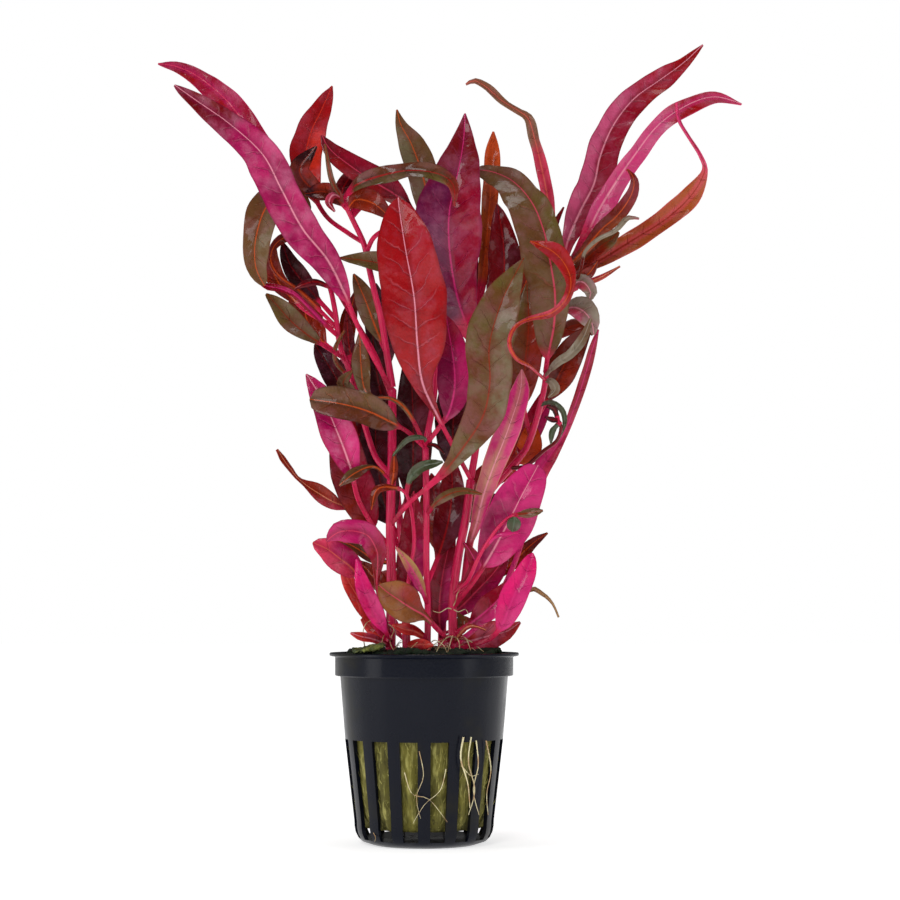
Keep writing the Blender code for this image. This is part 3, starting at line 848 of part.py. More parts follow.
def make_plant(collection, helpers):
    """Make the stems with their small leaves fused on, and every main leaf beside them."""
    stems = {stem.name: stem for stem in STEMS}
    routes = {}
    for stem in STEMS:
        route = [seen(place) for place in stem.route]
        if stem.on:
            reach = (stem.radius + JOINT_GAP) * MM
            route = clear_start(route, stems[stem.on], routes[stem.on], reach)
        routes[stem.name] = route
        mesh = stem_mesh(stem, route, collection)
        made = add_object(stem.name, mesh, collection, leaf_material(stem.colour))
        fuse_small_leaves(made, stem, route, helpers)
    for leaf in LEAVES:
        reach = (JOINT_GAP + PETIOLE_WIDTH / 2.0) * MM
        route = clear_start([seen(place) for place in leaf.route], stems[leaf.on], routes[leaf.on],
         reach)
        make_leaf(leaf, route, collection, across=2, steps=leaf_steps(leaf, LEAF_STEPS))


def main():
    """Build the pot, the wool and the plant."""
    for old in list(bpy.data.objects):
        bpy.data.objects.remove(old)
    plant = bpy.data.collections.new("potted_plant")
    helpers = bpy.data.collections.new("helpers")
    bpy.context.scene.collection.children.link(plant)
    bpy.context.scene.collection.children.link(helpers)
    make_pot(plant, helpers)
    make_plug(plant)
    make_plant(plant, helpers)


main()
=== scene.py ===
"""Looks of a potted Alternanthera reineckii: leaves, stems, net pot, wool, roots and moss.

Every fine piece lies where the frame's node of the same name lies. Leaves and stems are
planned in millimetres as they are seen from the front: how far right of the pot's axis,
how far above its base, and how far behind (+) or in front (-) of the axis.
"""
import json
import logging
import math
import random
from collections.abc import Sequence
from dataclasses import dataclass, field
from enum import Enum

import bmesh
import bpy
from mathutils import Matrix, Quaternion, Vector, noise


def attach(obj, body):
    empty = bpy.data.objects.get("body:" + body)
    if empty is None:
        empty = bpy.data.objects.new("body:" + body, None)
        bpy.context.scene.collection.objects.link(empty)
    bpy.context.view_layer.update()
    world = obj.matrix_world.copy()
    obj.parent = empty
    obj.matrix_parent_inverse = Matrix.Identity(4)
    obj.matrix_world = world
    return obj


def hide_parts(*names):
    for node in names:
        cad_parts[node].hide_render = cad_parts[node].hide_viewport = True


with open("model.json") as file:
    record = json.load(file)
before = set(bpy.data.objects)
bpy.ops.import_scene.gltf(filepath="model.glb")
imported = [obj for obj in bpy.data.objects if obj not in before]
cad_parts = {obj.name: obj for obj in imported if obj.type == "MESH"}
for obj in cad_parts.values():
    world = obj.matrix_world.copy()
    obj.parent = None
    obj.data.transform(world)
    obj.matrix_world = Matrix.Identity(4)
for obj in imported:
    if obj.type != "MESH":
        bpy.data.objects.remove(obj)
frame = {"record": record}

LOG = logging.getLogger("potted_plant")
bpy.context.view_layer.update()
MM = 0.001
BODY = "root"
FORWARD = Vector((0.0, -1.0, 0.25))
UPWARD = Vector((0.0, -0.5, 0.87))
Place = tuple[float, float, float]
Socket = bpy.types.NodeSocket
Piece = bpy.types.Object
SMOOTH = {"interpolation_type": "SMOOTHSTEP"}

# Sizes of the leaves' relief, in millimetres unless they say otherwise
PETIOLE_WIDTH = 1.4
TIP_WIDTH = 0.6
RIB_WIDTH = 0.44
RIB_THICKNESS = 0.6
RIM_THICKNESS = 0.34
GROOVE_DEPTH = 0.32
FULL_RELIEF_WIDTH = 3.0
PUCKER = 0.16
OUTLINE_WAVE = 0.09
OUTLINE_LENGTH = 7.0
VEIN_SPACING = 5.5
VEIN_SLANT = 0.9
WAVE_LENGTHS = (13.0, 24.0)
WAVE_SLIP = (0.6, 2.4)
CUP_POWER = 1.4
RIPPLE_POWER = 2.2
RIM_POWER = 8
COLUMNS_PER_MM = 0.6
FEWEST_COLUMNS = 4
MOST_COLUMNS = 10
ROWS_PER_MM = 0.7
FEWEST_ROWS = 14
STALK_STEPS = (1.0, 0.5)
SHARP_ANGLE = math.radians(75.0)

# Scales of the leaves' colours, in waves for each metre, and depths in metres
CLOUD_SCALE = 95.0
PAINTED_SHEEN_SCALE = 140.0
SHADE_SCALE = 150.0
GLOSS_SCALE = 180.0
CREASE_SCALE = 300.0
MOTTLE_SCALE = 320.0
FINE_SCALE = 900.0
CREASE_DEPTH = 0.0006

# Where a leaf's colours begin and are full, on a cloudy number from 0 to 1
PATCH_CLOUD = (0.44, 0.66)
MOTTLE_CLOUD = (0.45, 0.72)
PAINTED_SHEEN_CLOUD = (0.42, 0.68)
UNDER_CLOUD = (0.4, 0.7)
SHADE_CLOUD = (0.4, 0.65)
GLOSS_CLOUD = (0.35, 0.65)

# The same on other numbers: millimetres from the midrib, then shares from 0 to 1
HALVES = (-0.9, 0.9)
# The next pair: millimetres from the midrib where painted shade beside its groove ends, and where it is
# full
GROOVE_SHADE_REACH = (1.6, 0.5)
ON_THE_VEIN = (0.42, 0.49)
VEIN_REACH = (0.95, 0.4)
AT_THE_RIM = (0.88, 0.99)
ON_THE_STALK = (0.06, -0.02)
TIP_FADE = 0.25

# How the routes are read, as shares of a length unless they say otherwise
HEADING_STEP = 0.01
ROUTE_SAMPLES = 48
SHARE_STEP = 0.005
LONGEST_HIDDEN_SHARE = 0.4
FOOT_SHARE = 0.4
JOINT_GAP = 0.4

# Sizes of the stems, the roots and the wool's fibres, in millimetres, and counts
STEM_RINGS_PER_MM = 0.7
FEWEST_RINGS = 10
STEM_SIDES = 14
STEM_FLUTES = 6
STEM_FLUTE = 0.03
STEM_END = 0.35
ROOT_RINGS = 14
ROOT_SIDES = 6
ROOT_THINNING = 0.6
LOOSE_ROOTS = 46
STRAND_LENGTH = 1.6
SLEEVE_ROWS = 12
SLEEVE_COLUMNS = 96
GROUND_STEPS = 24

# Sizes in metres, and waves for each metre
WELD = 0.000002
FLOOR_SIZE = 3.0
NEAREST_SEEN = 0.01
GROUND_WAVES = 120.0


class Pigment(Enum):
    """Colours of the plant, the pot and the wool, as red, green and blue out of 255."""

    ORANGE_RED = (205, 42, 22)
    RED = (156, 11, 18)
    DEEP_RED = (112, 5, 14)
    CRIMSON = (146, 6, 38)
    # The next two are darkened below the leaves' own red: painted shade for the leaves deep inside the
    # plant, also used as plain dark tones
    DARK_CRIMSON = (80, 3, 14)
    MAROON = (46, 5, 9)
    PLUM = (104, 18, 66)
    DARK_MAGENTA = (122, 8, 58)
    MAGENTA = (180, 22, 92)
    PINK = (212, 44, 118)
    HOT_PINK = (232, 28, 112)
    PALE_PINK = (238, 150, 170)
    ROSE = (214, 60, 92)
    SALMON = (214, 92, 78)
    PEACH = (232, 142, 104)
    ORANGE = (200, 78, 28)
    RUST = (140, 36, 10)
    DARK_RUST = (104, 30, 14)
    BROWN = (100, 50, 24)
    DARK_BROWN = (62, 30, 20)
    GREY_BROWN = (116, 84, 64)
    OLIVE = (96, 80, 36)
    GREY_OLIVE = (112, 98, 70)
    GREEN = (62, 72, 44)
    MOSS_LIGHT = (126, 134, 62)
    MOSS_BLACK = (14, 24, 14)
    CORAL = (226, 66, 58)
    MAUVE = (200, 76, 118)
    CHESTNUT = (160, 74, 26)
    UMBER = (102, 72, 40)
    # The pale lavender of the leaves' painted sheen
    BLOOM = (214, 128, 164)
    TAN_OLIVE = (142, 84, 38)
    DARK_GREEN = (26, 44, 20)
    YELLOW_OLIVE = (168, 150, 66)
    CREAM = (236, 226, 180)
    TAN = (188, 150, 104)
    POT_BLACK = (9, 13, 26)
    WOOL_OLIVE = (122, 116, 44)
    WOOL_DARK = (46, 42, 12)
    WOOL_LIGHT = (178, 172, 96)
    STALK_RED = (206, 30, 78)
    STEM_PINK = (216, 30, 88)
    STEM_SHADE = (164, 12, 44)
    GREY_GREEN = (92, 104, 84)
    PALE_GREY = (150, 138, 122)
    FLOOR_WHITE = (250, 250, 250)

    def linear(self) -> tuple[float, float, float, float]:
        """Give the colour as linear light.

        Returns:
            Red, green and blue from 0 to 1, and full cover.
        """
        parts = [part / 255.0 for part in self.value]
        light = [part / 12.92 if part <= 0.04045 else ((part + 0.055) / 1.055) ** 2.4 for part in parts]
        return (light[0], light[1], light[2], 1.0)


class NodeTree:
    """A node tree that is built in code."""

    def __init__(self, tree: bpy.types.NodeTree) -> None:
        """Keep the tree that the nodes go into."""
        self.tree = tree

    def put(self, socket: Socket, value: object) -> None:
        """Link a socket into an input, or set the input's own value.

        Args:
            socket: The input.
            value: A socket, a pigment or a plain value.
        """
        if isinstance(value, Socket):
            self.tree.links.new(value, socket)
        else:
            socket.default_value = value.linear() if isinstance(value, Pigment) else value

    def node(self, kind: str, *values: object, settings: dict[str, object] | None = None,
             **named: object) -> bpy.types.Node:
        """Add a node.

        Args:
            kind: The node's type.
            values: Its first inputs, in order.
            settings: Its own settings.
            named: Further inputs by name, with underscores for spaces.

        Returns:
            The node.
        """
        node = self.tree.nodes.new(kind)
        for key, value in (settings or {}).items():
            setattr(node, key, value)
        for socket, value in zip(node.inputs, values):
            self.put(socket, value)
        for key, value in named.items():
            self.put(node.inputs[key.replace("_", " ")], value)
        return node

    def math(self, operation: str, first: object, second: object = 0.0) -> Socket:
        """Work out one number from two."""
        return self.node("ShaderNodeMath", first, second, settings={"operation": operation}).outputs[0]


class Graph(NodeTree):
    """A material's node tree, with short methods for the nodes that the finishes use."""

    def __init__(self, name: str) -> None:
        """Start a material with a shader and an output.

        Args:
            name: The material's name.
        """
        self.material = bpy.data.materials.new(name)
        self.material.use_nodes = True
        super().__init__(self.material.node_tree)
        self.shader = self.tree.nodes["Principled BSDF"]

    def set(self, **values: object) -> None:
        """Set inputs of the shader, named with underscores for spaces."""
        for name, value in values.items():
            self.put(self.shader.inputs[name.replace("_", " ")], value)

    def ease(self, value: object, low: object, high: object, to_low: float = 0.0,
             to_high: float = 1.0) -> Socket:
        """Turn a number between low and high smoothly into one between two others."""
        values = (value, low, high, to_low, to_high)
        return self.node("ShaderNodeMapRange", *values, settings=SMOOTH).outputs[0]

    def mix(self, share: object, first: object, second: object) -> Socket:
        """Mix two colours.

        Args:
            share: The share of the second colour.
            first: The first colour.
            second: The second colour.

        Returns:
            The mixed colour.
        """
        node = self.node("ShaderNodeMix", share, settings={"data_type": "RGBA"})
        self.put(node.inputs[6], first)
        self.put(node.inputs[7], second)
        return node.outputs[2]

    def attribute(self, name: str, output: str = "Fac") -> Socket:
        """Read an attribute of the piece."""
        return self.node("ShaderNodeAttribute", settings={"attribute_name": name}).outputs[output]

    def split(self, vector: object) -> list[Socket]:
        """Split a vector into its three numbers."""
        return list(self.node("ShaderNodeSeparateXYZ", vector).outputs)

    def join(self, x: object, y: object, z: object) -> Socket:
        """Join three numbers into a vector."""
        return self.node("ShaderNodeCombineXYZ", x, y, z).outputs[0]

    def place(self) -> Socket:
        """Give the place on the piece, in metres."""
        return self.node("ShaderNodeTexCoord").outputs["Object"]

    def noise(self, scale: float, detail: float = 3.0, roughness: float = 0.55,
              vector: Socket | None = None) -> Socket:
        """Give a cloudy number between 0 and 1.

        Args:
            scale: How many waves fit into a metre, or into one of the vector's units.
            detail: How many finer waves are added.
            roughness: How strong the finer ones are.
            vector: Where it is read, or nothing for the place on the piece.

        Returns:
            The number.
        """
        spot = self.place() if vector is None else vector
        sizes = {"Scale": scale, "Detail": detail, "Roughness": roughness}
        return self.node("ShaderNodeTexNoise", spot, **sizes).outputs[0]

    def bump(self, height: object, depth: float, strength: float = 1.0) -> None:
        """Raise the shader's surface by a height of a given depth in metres."""
        node = self.node("ShaderNodeBump", Distance=depth, Strength=strength, Height=height)
        self.put(self.shader.inputs["Normal"], node.outputs[0])


@dataclass(frozen=True)
class LeafFinish:
    """The colours of a leaf: halves, tip, midrib, underside, patches and stalk. The patch colour also
    paints shade beside the midrib's groove.

    Its last share sets how strongly pale lavender patches of painted sheen lie over it, and wet how much
    water lies on it.
    """

    left: Pigment
    right: Pigment
    tip: Pigment
    rib: Pigment
    under: Pigment
    patch: Pigment
    stalk: Pigment = Pigment.STALK_RED
    tip_from: float = 0.55
    patches: float = 0.5
    vein: float = 0.12
    wet: float = 0.6
    bloom: float = 0.1

    def name(self) -> str:
        """Name the finish after its colours.

        Returns:
            A name that no other finish has.
        """
        colours = (self.left, self.right, self.tip, self.rib, self.under, self.patch, self.stalk)
        words = "_".join(colour.name.lower() for colour in colours)
        shares = (self.tip_from, self.patches, self.vein, self.wet, self.bloom)
        return f"leaf_{words}_" + "_".join(f"{share:.2f}" for share in shares)

    def blade(self, graph: Graph, across: Socket, share: Socket, cloud: Socket) -> Socket:
        """Colour the upper side without its veins, with its painted sheen.

        Args:
            graph: The material's tree.
            across: Millimetres from the midrib.
            share: The share of the blade.
            cloud: A cloudy number.

        Returns:
            The colour.
        """
        mottle = graph.noise(MOTTLE_SCALE, 4.0, 0.6)
        wander = graph.math("MULTIPLY", graph.math("SUBTRACT", mottle, 0.5), 3.0)
        half = graph.ease(graph.math("ADD", across, wander), *HALVES)
        colour = graph.mix(half, self.left, self.right)
        colour = graph.mix(graph.ease(cloud, *PATCH_CLOUD, 0.0, self.patches), colour, self.patch)
        colour = graph.mix(graph.ease(mottle, *MOTTLE_CLOUD, 0.0, 0.55 * self.patches), colour, self.patch)
        reach = graph.math("ADD", share, graph.math("MULTIPLY", graph.math("SUBTRACT", cloud, 0.5), 0.6))
        colour = graph.mix(graph.ease(reach, self.tip_from, self.tip_from + TIP_FADE), colour, self.tip)
        # Painted sheen: pale lavender patches at random, standing in for the gloss on the wet leaves
        painted_sheen_share = graph.ease(graph.noise(PAINTED_SHEEN_SCALE, 5.0, 0.65), *PAINTED_SHEEN_CLOUD, 0.0, self.bloom)
        return graph.mix(painted_sheen_share, colour, Pigment.BLOOM)

    def material(self) -> bpy.types.Material:
        """Make the finish, or give it if it is made.

        Returns:
            A material that reads a leaf's own places: across and along it in millimetres,
            its share of the blade, how near the edge, and whether it is the underside.
        """
        name = self.name()
        if name in bpy.data.materials:
            return bpy.data.materials[name]
        graph = Graph(name)
        across, along, share = graph.split(graph.attribute("leaf_place", "Vector"))
        edge = graph.attribute("leaf_edge")
        away = graph.math("ABSOLUTE", across)
        cloud = graph.noise(CLOUD_SCALE, 4.0)
        colour = self.blade(graph, across, share, cloud)

        slant = graph.math("SUBTRACT", along, graph.math("MULTIPLY", away, VEIN_SLANT))
        drift = graph.math("MULTIPLY", cloud, 1.5)
        turns = graph.math("ADD", graph.math("DIVIDE", slant, VEIN_SPACING), drift)
        ridge = graph.math("ABSOLUTE", graph.math("SUBTRACT", graph.math("FRACT", turns), 0.5))
        vein = graph.math("MULTIPLY", graph.ease(ridge, *ON_THE_VEIN), graph.ease(edge, *VEIN_REACH))
        colour = graph.mix(graph.math("MULTIPLY", vein, self.vein), colour, self.rib)
        # Painted shade in a narrow band beside the midrib, deepening its groove
        colour = graph.mix(graph.ease(away, *GROOVE_SHADE_REACH, 0.0, 0.4), colour, self.patch)
        colour = graph.mix(graph.ease(edge, *AT_THE_RIM, 0.0, 0.55), colour, self.patch)

        rib_edge = graph.ease(share, 0.0, 0.9, RIB_WIDTH, RIB_WIDTH * 0.4)
        rib = graph.ease(away, rib_edge, graph.math("MULTIPLY", rib_edge, 0.3), 0.0, 0.8)
        front = graph.mix(rib, colour, self.rib)
        back = graph.mix(graph.ease(cloud, *UNDER_CLOUD, 0.15, 0.55), self.under, colour)
        back = graph.mix(rib, back, self.rib)
        whole = graph.mix(graph.attribute("leaf_under"), front, back)
        shaded = graph.ease(graph.noise(SHADE_SCALE), *SHADE_CLOUD, 0.0, 0.5)
        stalk = graph.mix(shaded, self.stalk, Pigment.DEEP_RED)
        graph.set(Base_Color=graph.mix(graph.ease(share, *ON_THE_STALK), whole, stalk))

        gloss = graph.ease(graph.noise(GLOSS_SCALE), *GLOSS_CLOUD, 0.24, 0.42)
        graph.set(Roughness=gloss, Coat_Weight=self.wet * 0.35, Coat_Roughness=0.07, Specular_IOR_Level=0.1)
        fine = graph.math("MULTIPLY", graph.noise(FINE_SCALE, 3.0, 0.6), 0.12)
        crease = graph.math("MULTIPLY", graph.noise(CREASE_SCALE, 3.0, 0.6), 0.9)
        height = graph.math("SUBTRACT", graph.math("ADD", fine, crease), graph.math("MULTIPLY", vein, 0.35))
        graph.bump(height, CREASE_DEPTH)
        return graph.material


@dataclass(frozen=True)
class Eye:
    """The eye of the usual view: how far in front, how high, and where it looks."""

    distance: float = 680.0
    height: float = 69.0
    pitch: float = 3.61
    yaw: float = 0.62
    lens: float = 95.0

    def seen(self, place: Place) -> Vector:
        """Turn a place as it is seen, with its depth, into a point.

        Args:
            place: Millimetres right, up and back, as seen on the plane through the pot's axis.

        Returns:
            The point in metres.
        """
        right, up, back = place
        eye = Vector((0.0, -self.distance, self.height))
        flat = Vector((right, 0.0, up))
        return (eye + (flat - eye) * (self.distance + back) / self.distance) * MM


EYE = Eye()


def between(values: Sequence, index: int, t: float) -> float | Vector:
    """Read a smooth curve through values that follow each other.

    Args:
        values: Numbers or points.
        index: The number of the value before the place that is read.
        t: The share of the way from that value to the next.

    Returns:
        The number or point there.
    """
    before, start = values[max(index - 1, 0)], values[index]
    end, after = values[index + 1], values[min(index + 2, len(values) - 1)]
    curve = 2 * start + (end - before) * t
    curve += (2 * before - 5 * start + 4 * end - after) * t ** 2
    curve += (3 * start - before - 3 * end + after) * t ** 3
    return 0.5 * curve


def spread(values: Sequence[float], share: float) -> float:
    """Read a value from a list that is spread evenly from 0 to 1.

    Args:
        values: One value or more.
        share: Where to read it.

    Returns:
        The value, in a straight line between the two nearest.
    """
    if len(values) == 1:
        return values[0]
    place = share * (len(values) - 1)
    index = min(int(place), len(values) - 2)
    return values[index] + (values[index + 1] - values[index]) * (place - index)


def on_wall(radius: float, turn: float, height: float) -> Vector:
    """Give a point in metres, from a radius and a height in millimetres and an angle."""
    return Vector((radius * math.sin(turn), -radius * math.cos(turn), height)) * MM


def show(name: str, data: bpy.types.ID) -> Piece:
    """Put a mesh, a light or a camera into the scene.

    Args:
        name: The new object's name.
        data: What it shows.

    Returns:
        The object.
    """
    made = bpy.data.objects.new(name, data)
    bpy.context.scene.collection.objects.link(made)
    return made


def show_work(name: str, work: bmesh.types.BMesh) -> Piece:
    """Turn a work mesh into an object in the scene, and free it.

    Args:
        name: The new object's name.
        work: The work mesh.

    Returns:
        The object.
    """
    mesh = bpy.data.meshes.new(name)
    work.to_mesh(mesh)
    work.free()
    return show(name, mesh)


class Route:
    """A smooth curve through points, read by the share of its length."""

    def __init__(self, points: Sequence[Vector]) -> None:
        """Measure the stretches between the points.

        Args:
            points: Two or more points in metres.
        """
        self.points = list(points)
        lengths = [0.0]
        for first, second in zip(self.points, self.points[1:]):
            lengths.append(lengths[-1] + (second - first).length)
        self.length = lengths[-1]
        self.marks = [length / self.length for length in lengths]

    @classmethod
    def seen(cls, places: Sequence[Place]) -> "Route":
        """Make a route through places as the eye sees them."""
        return cls([EYE.seen(place) for place in places])

    def stretch(self, share: float) -> tuple[int, float]:
        """Find the stretch that a share of the length falls in.

        Args:
            share: The share of the length.

        Returns:
            The stretch's number, and how far along it the share is, from 0 to 1.
        """
        share = min(max(share, 0.0), 1.0)
        index = 0
        while index < len(self.points) - 2 and share > self.marks[index + 1]:
            index += 1
        start, end = self.marks[index], self.marks[index + 1]
        return index, (share - start) / (end - start)

    def at(self, share: float) -> Vector:
        """Give the point at a share of the length."""
        return between(self.points, *self.stretch(share))

    def heading(self, share: float) -> Vector:
        """Give the direction at a share of the length."""
        ahead = self.at(min(share + HEADING_STEP, 1.0))
        return (ahead - self.at(max(share - HEADING_STEP, 0.0))).normalized()

    def nearest(self, target: Vector) -> tuple[Vector, float]:
        """Find the place that is nearest to a point.

        Args:
            target: The point.

        Returns:
            The place, and its share of the length.
        """
        marks = [index / ROUTE_SAMPLES for index in range(ROUTE_SAMPLES + 1)]
        best = min(marks, key=lambda share: (self.at(share) - target).length)
        return self.at(best), best


class Surface:
    """Points and faces of one piece, gathered grid by grid, with a leaf's own places."""

    def __init__(self) -> None:
        """Start with nothing."""
        self.points: list[Vector] = []
        self.faces: list[list[int]] = []
        self.finishes: list[int] = []
        self.under: list[float] = []
        self.places: list[float] = []
        self.edges: list[float] = []
        self.materials: list[bpy.types.Material] = []

    def finish_index(self, material: bpy.types.Material) -> int:
        """Give a material's number on this piece.

        Args:
            material: The material, which is added if it is new.

        Returns:
            Its number.
        """
        if material not in self.materials:
            self.materials.append(material)
        return self.materials.index(material)

    def point(self, position: Vector, place: Place = (0.0, 0.0, 0.0), edge: float = 0.0) -> int:
        """Add a point.

        Args:
            position: Where it is, in metres.
            place: Where it is on the leaf or stem, for the finish.
            edge: How near it is to the leaf's edge, from 0 to 1.

        Returns:
            The point's number.
        """
        self.points.append(position)
        self.places.extend(place)
        self.edges.append(edge)
        return len(self.points) - 1

    def face(self, corners: Sequence[int], finish: int, under: float = 0.0) -> None:
        """Add a face, leaving out corners that repeat.

        Args:
            corners: The numbers of its points, anticlockwise as seen from outside.
            finish: The number of its material.
            under: 1 on a leaf's underside, and 0 elsewhere.
        """
        kept = list(dict.fromkeys(corners))
        if len(kept) > 2:
            self.faces.append(kept)
            self.finishes.append(finish)
            self.under.append(under)

    def sweep(self, rings: Sequence[Sequence[int]], finish: int, closed: bool = True) -> None:
        """Join rings of points into a tube.

        Args:
            rings: The numbers of the points, ring by ring.
            finish: The number of its material.
            closed: Whether it has flat ends.
        """
        for lower, upper in zip(rings, rings[1:]):
            for index, corner in enumerate(lower):
                after = (index + 1) % len(lower)
                self.face((corner, lower[after], upper[after], upper[index]), finish)
        if closed:
            self.face(rings[0][::-1], finish)
            self.face(rings[-1], finish)

    def piece(self, name: str) -> Piece:
        """Make the gathered surface one object.

        Args:
            name: The object's name.

        Returns:
            A mesh object at the origin, shaded smooth but for its sharp edges.
        """
        mesh = bpy.data.meshes.new(name)
        mesh.from_pydata(self.points, [], self.faces)
        for material in self.materials:
            mesh.materials.append(material)
        mesh.polygons.foreach_set("material_index", self.finishes)
        mesh.attributes.new("leaf_place", "FLOAT_VECTOR", "POINT").data.foreach_set("vector", self.places)
        mesh.attributes.new("leaf_edge", "FLOAT", "POINT").data.foreach_set("value", self.edges)
        mesh.attributes.new("leaf_under", "FLOAT", "FACE").data.foreach_set("value", self.under)
        mesh.shade_smooth()
        mesh.set_sharp_from_angle(angle=SHARP_ANGLE)
        mesh.update()
        return show(name, mesh)


@dataclass(frozen=True)
class StemPlan:
    """A stem from its foot to its end, on an earlier stem if it names one."""

    node: str
    radius: float
    places: tuple[Place, ...]
    on: str = ""
    end_radius: float = 0.0

    def radius_at(self, share: float) -> float:
        """Give the radius in metres at a share of the length."""
        return spread((self.radius, self.end_radius or self.radius), share) * MM


@dataclass(frozen=True)
class LeafPlan:
    """A leaf from its stem to its tip. Its width is one number, or one for each place.

    petiole is the share of its length that is stalk. turn is its roll about its midrib in
    degrees, from base to tip. cup is how far its edges rise towards the viewer, as a share
    of its width. facing is the way that its upper side looks. ripple is how far its edges
    wave, in millimetres. lean is how much wider the right half looks than the left, as a
    share of the half.
    """

    name: str
    on: str
    width: float | tuple[float, ...]
    places: tuple[Place, ...]
    finish: LeafFinish
    petiole: float = 0.2
    turn: tuple[float, ...] = (0.0,)
    cup: float = 0.12
    widest: float = 0.45
    fullness: float = 0.75
    facing: Vector = field(default_factory=FORWARD.copy)
    ripple: float = 0.8
    lean: float = 0.0

    def width_at(self, route: Route, share: float) -> float:
        """Give the width at a share of the length.

        Args:
            route: The leaf's midrib.
            share: The share of its length.

        Returns:
            The width in metres.
        """
        if isinstance(self.width, tuple):
            return max(between(self.width, *route.stretch(share)), TIP_WIDTH * 0.5) * MM
        if share <= self.petiole:
            return PETIOLE_WIDTH * MM
        blade = (share - self.petiole) / (1.0 - self.petiole)
        rise = (blade / self.widest) ** self.fullness
        fall_power = self.fullness * (1.0 - self.widest) / self.widest
        fall = ((1.0 - blade) / (1.0 - self.widest)) ** fall_power
        least = PETIOLE_WIDTH + (TIP_WIDTH - PETIOLE_WIDTH) * blade
        return max(self.width * rise * fall, least) * MM

    def widest_width(self) -> float:
        """Give the greatest width in millimetres."""
        return max(self.width) if isinstance(self.width, tuple) else self.width


class LeafBlade:
    """A leaf with a grooved midrib, puckered side veins and waving edges, thin at its rim."""

    def __init__(self, plan: LeafPlan, route: Route, stalk_from: Vector | None = None) -> None:
        """Keep the plan and settle the leaf's own chance values.

        Args:
            plan: The leaf's plan.
            route: Its midrib.
            stalk_from: The point in the stem that its stalk starts from, if it is apart.
        """
        self.plan = plan
        self.route = route
        self.stalk_from = stalk_from
        chance = random.Random(plan.name)
        self.phase = chance.uniform(0.0, math.tau)
        self.wave = chance.uniform(*WAVE_LENGTHS) * MM
        self.slip = chance.uniform(*WAVE_SLIP)

    def columns(self) -> list[float]:
        """List the shares across the leaf, from one edge at -1 to the other at 1.

        Returns:
            The shares, closer together towards the edges.
        """
        wanted = round(self.plan.widest_width() * COLUMNS_PER_MM)
        half = max(FEWEST_COLUMNS, min(MOST_COLUMNS, wanted))
        shares = [math.sin(math.pi / 2 * index / half) for index in range(half + 1)]
        return [-share for share in reversed(shares[1:])] + shares

    def outline(self, side: float, along: float) -> float:
        """Give the share by which a half is wider than planned, at a length in metres."""
        spot = Vector((along / (OUTLINE_LENGTH * MM), 9.0 * math.copysign(1.0, side), self.phase))
        return 1.0 + self.plan.lean * math.copysign(1.0, side) + OUTLINE_WAVE * noise.noise(spot)

    def relief(self, side: float, share: float, width: float) -> tuple[float, float]:
        """Shape the leaf at one point.

        Args:
            side: How far across it is, from -1 to 1.
            share: The share of the length.
            width: The leaf's width there, in metres.

        Returns:
            How far the upper side stands up, and the thickness, both in metres.
        """
        plan = self.plan
        away = abs(side)
        across = side * width / 2.0
        along = share * self.route.length
        blade = min(width / (FULL_RELIEF_WIDTH * MM), 1.0) ** 2
        lift = plan.cup * width * away ** CUP_POWER
        rib = math.exp(-((across / (RIB_WIDTH * MM)) ** 2))
        groove = -GROOVE_DEPTH * MM * rib * blade
        turn = math.tau * along / self.wave + self.phase + (self.slip if side > 0 else 0.0)
        ends = math.sin(math.pi * min(max(share, 0.0), 1.0)) ** 0.5
        wave = plan.ripple * MM * away ** RIPPLE_POWER * math.sin(turn) * ends * blade
        slant = (along - abs(across) * VEIN_SLANT) / (VEIN_SPACING * MM)
        pucker = PUCKER * MM * math.cos(math.tau * slant) * (1.0 - away) * away * 4.0 * blade
        thickness = (RIM_THICKNESS + RIB_THICKNESS * rib) * MM
        return lift + groove + wave + pucker, thickness * (1.0 - away ** RIM_POWER)

    def row(self, surface: Surface, share: float, back: float) -> tuple[list[int], list[int]]:
        """Add the points across the leaf at one share of its length.

        Args:
            surface: The surface that gathers them.
            share: The share of the length.
            back: How far the row is drawn back to where the stalk starts, from 0 to 1.

        Returns:
            The numbers of the upper and of the lower points.
        """
        plan, route = self.plan, self.route
        direction = route.heading(share)
        sideways = direction.cross(plan.facing).normalized()
        sideways.rotate(Quaternion(direction, math.radians(spread(plan.turn, share))))
        towards = sideways.cross(direction)
        centre = route.at(share)
        if back:
            centre = centre.lerp(self.stalk_from, back)
        width = plan.width_at(route, share)
        blade = (share - plan.petiole) / (1.0 - plan.petiole)
        upper, lower = [], []
        columns = self.columns()
        for side in columns:
            lift, thickness = self.relief(side, share, width)
            across = side * width / 2.0 * self.outline(side, share * route.length)
            place = (across / MM, share * route.length / MM, blade)
            top = centre + sideways * across + towards * (lift + thickness / 2.0)
            upper.append(surface.point(top, place, abs(side)))
            if side in (columns[0], columns[-1]):
                lower.append(upper[-1])
            else:
                lower.append(surface.point(top - towards * thickness, place, abs(side)))
        return upper, lower

    def add_to(self, surface: Surface) -> None:
        """Add both sides of the leaf to a surface, closed at the edges, base and tip.

        Args:
            surface: The surface that gathers it.
        """
        finish = surface.finish_index(self.plan.finish.material())
        count = max(FEWEST_ROWS, round(self.route.length / MM * ROWS_PER_MM))
        steps = [(0.0, back) for back in STALK_STEPS] if self.stalk_from is not None else []
        steps += [(index / count, 0.0) for index in range(count + 1)]
        rows = [self.row(surface, share, back) for share, back in steps]
        for side, under in ((0, 0.0), (1, 1.0)):
            sheet = [row[side] for row in rows]
            for first, second in zip(sheet, sheet[1:]):
                for index in range(len(first) - 1):
                    corners = [first[index], first[index + 1], second[index + 1], second[index]]
                    surface.face(corners[::-1] if under else corners, finish, under)
        surface.face(rows[0][0][::-1] + rows[0][1], finish)
        surface.face(rows[-1][0] + rows[-1][1][::-1], finish)


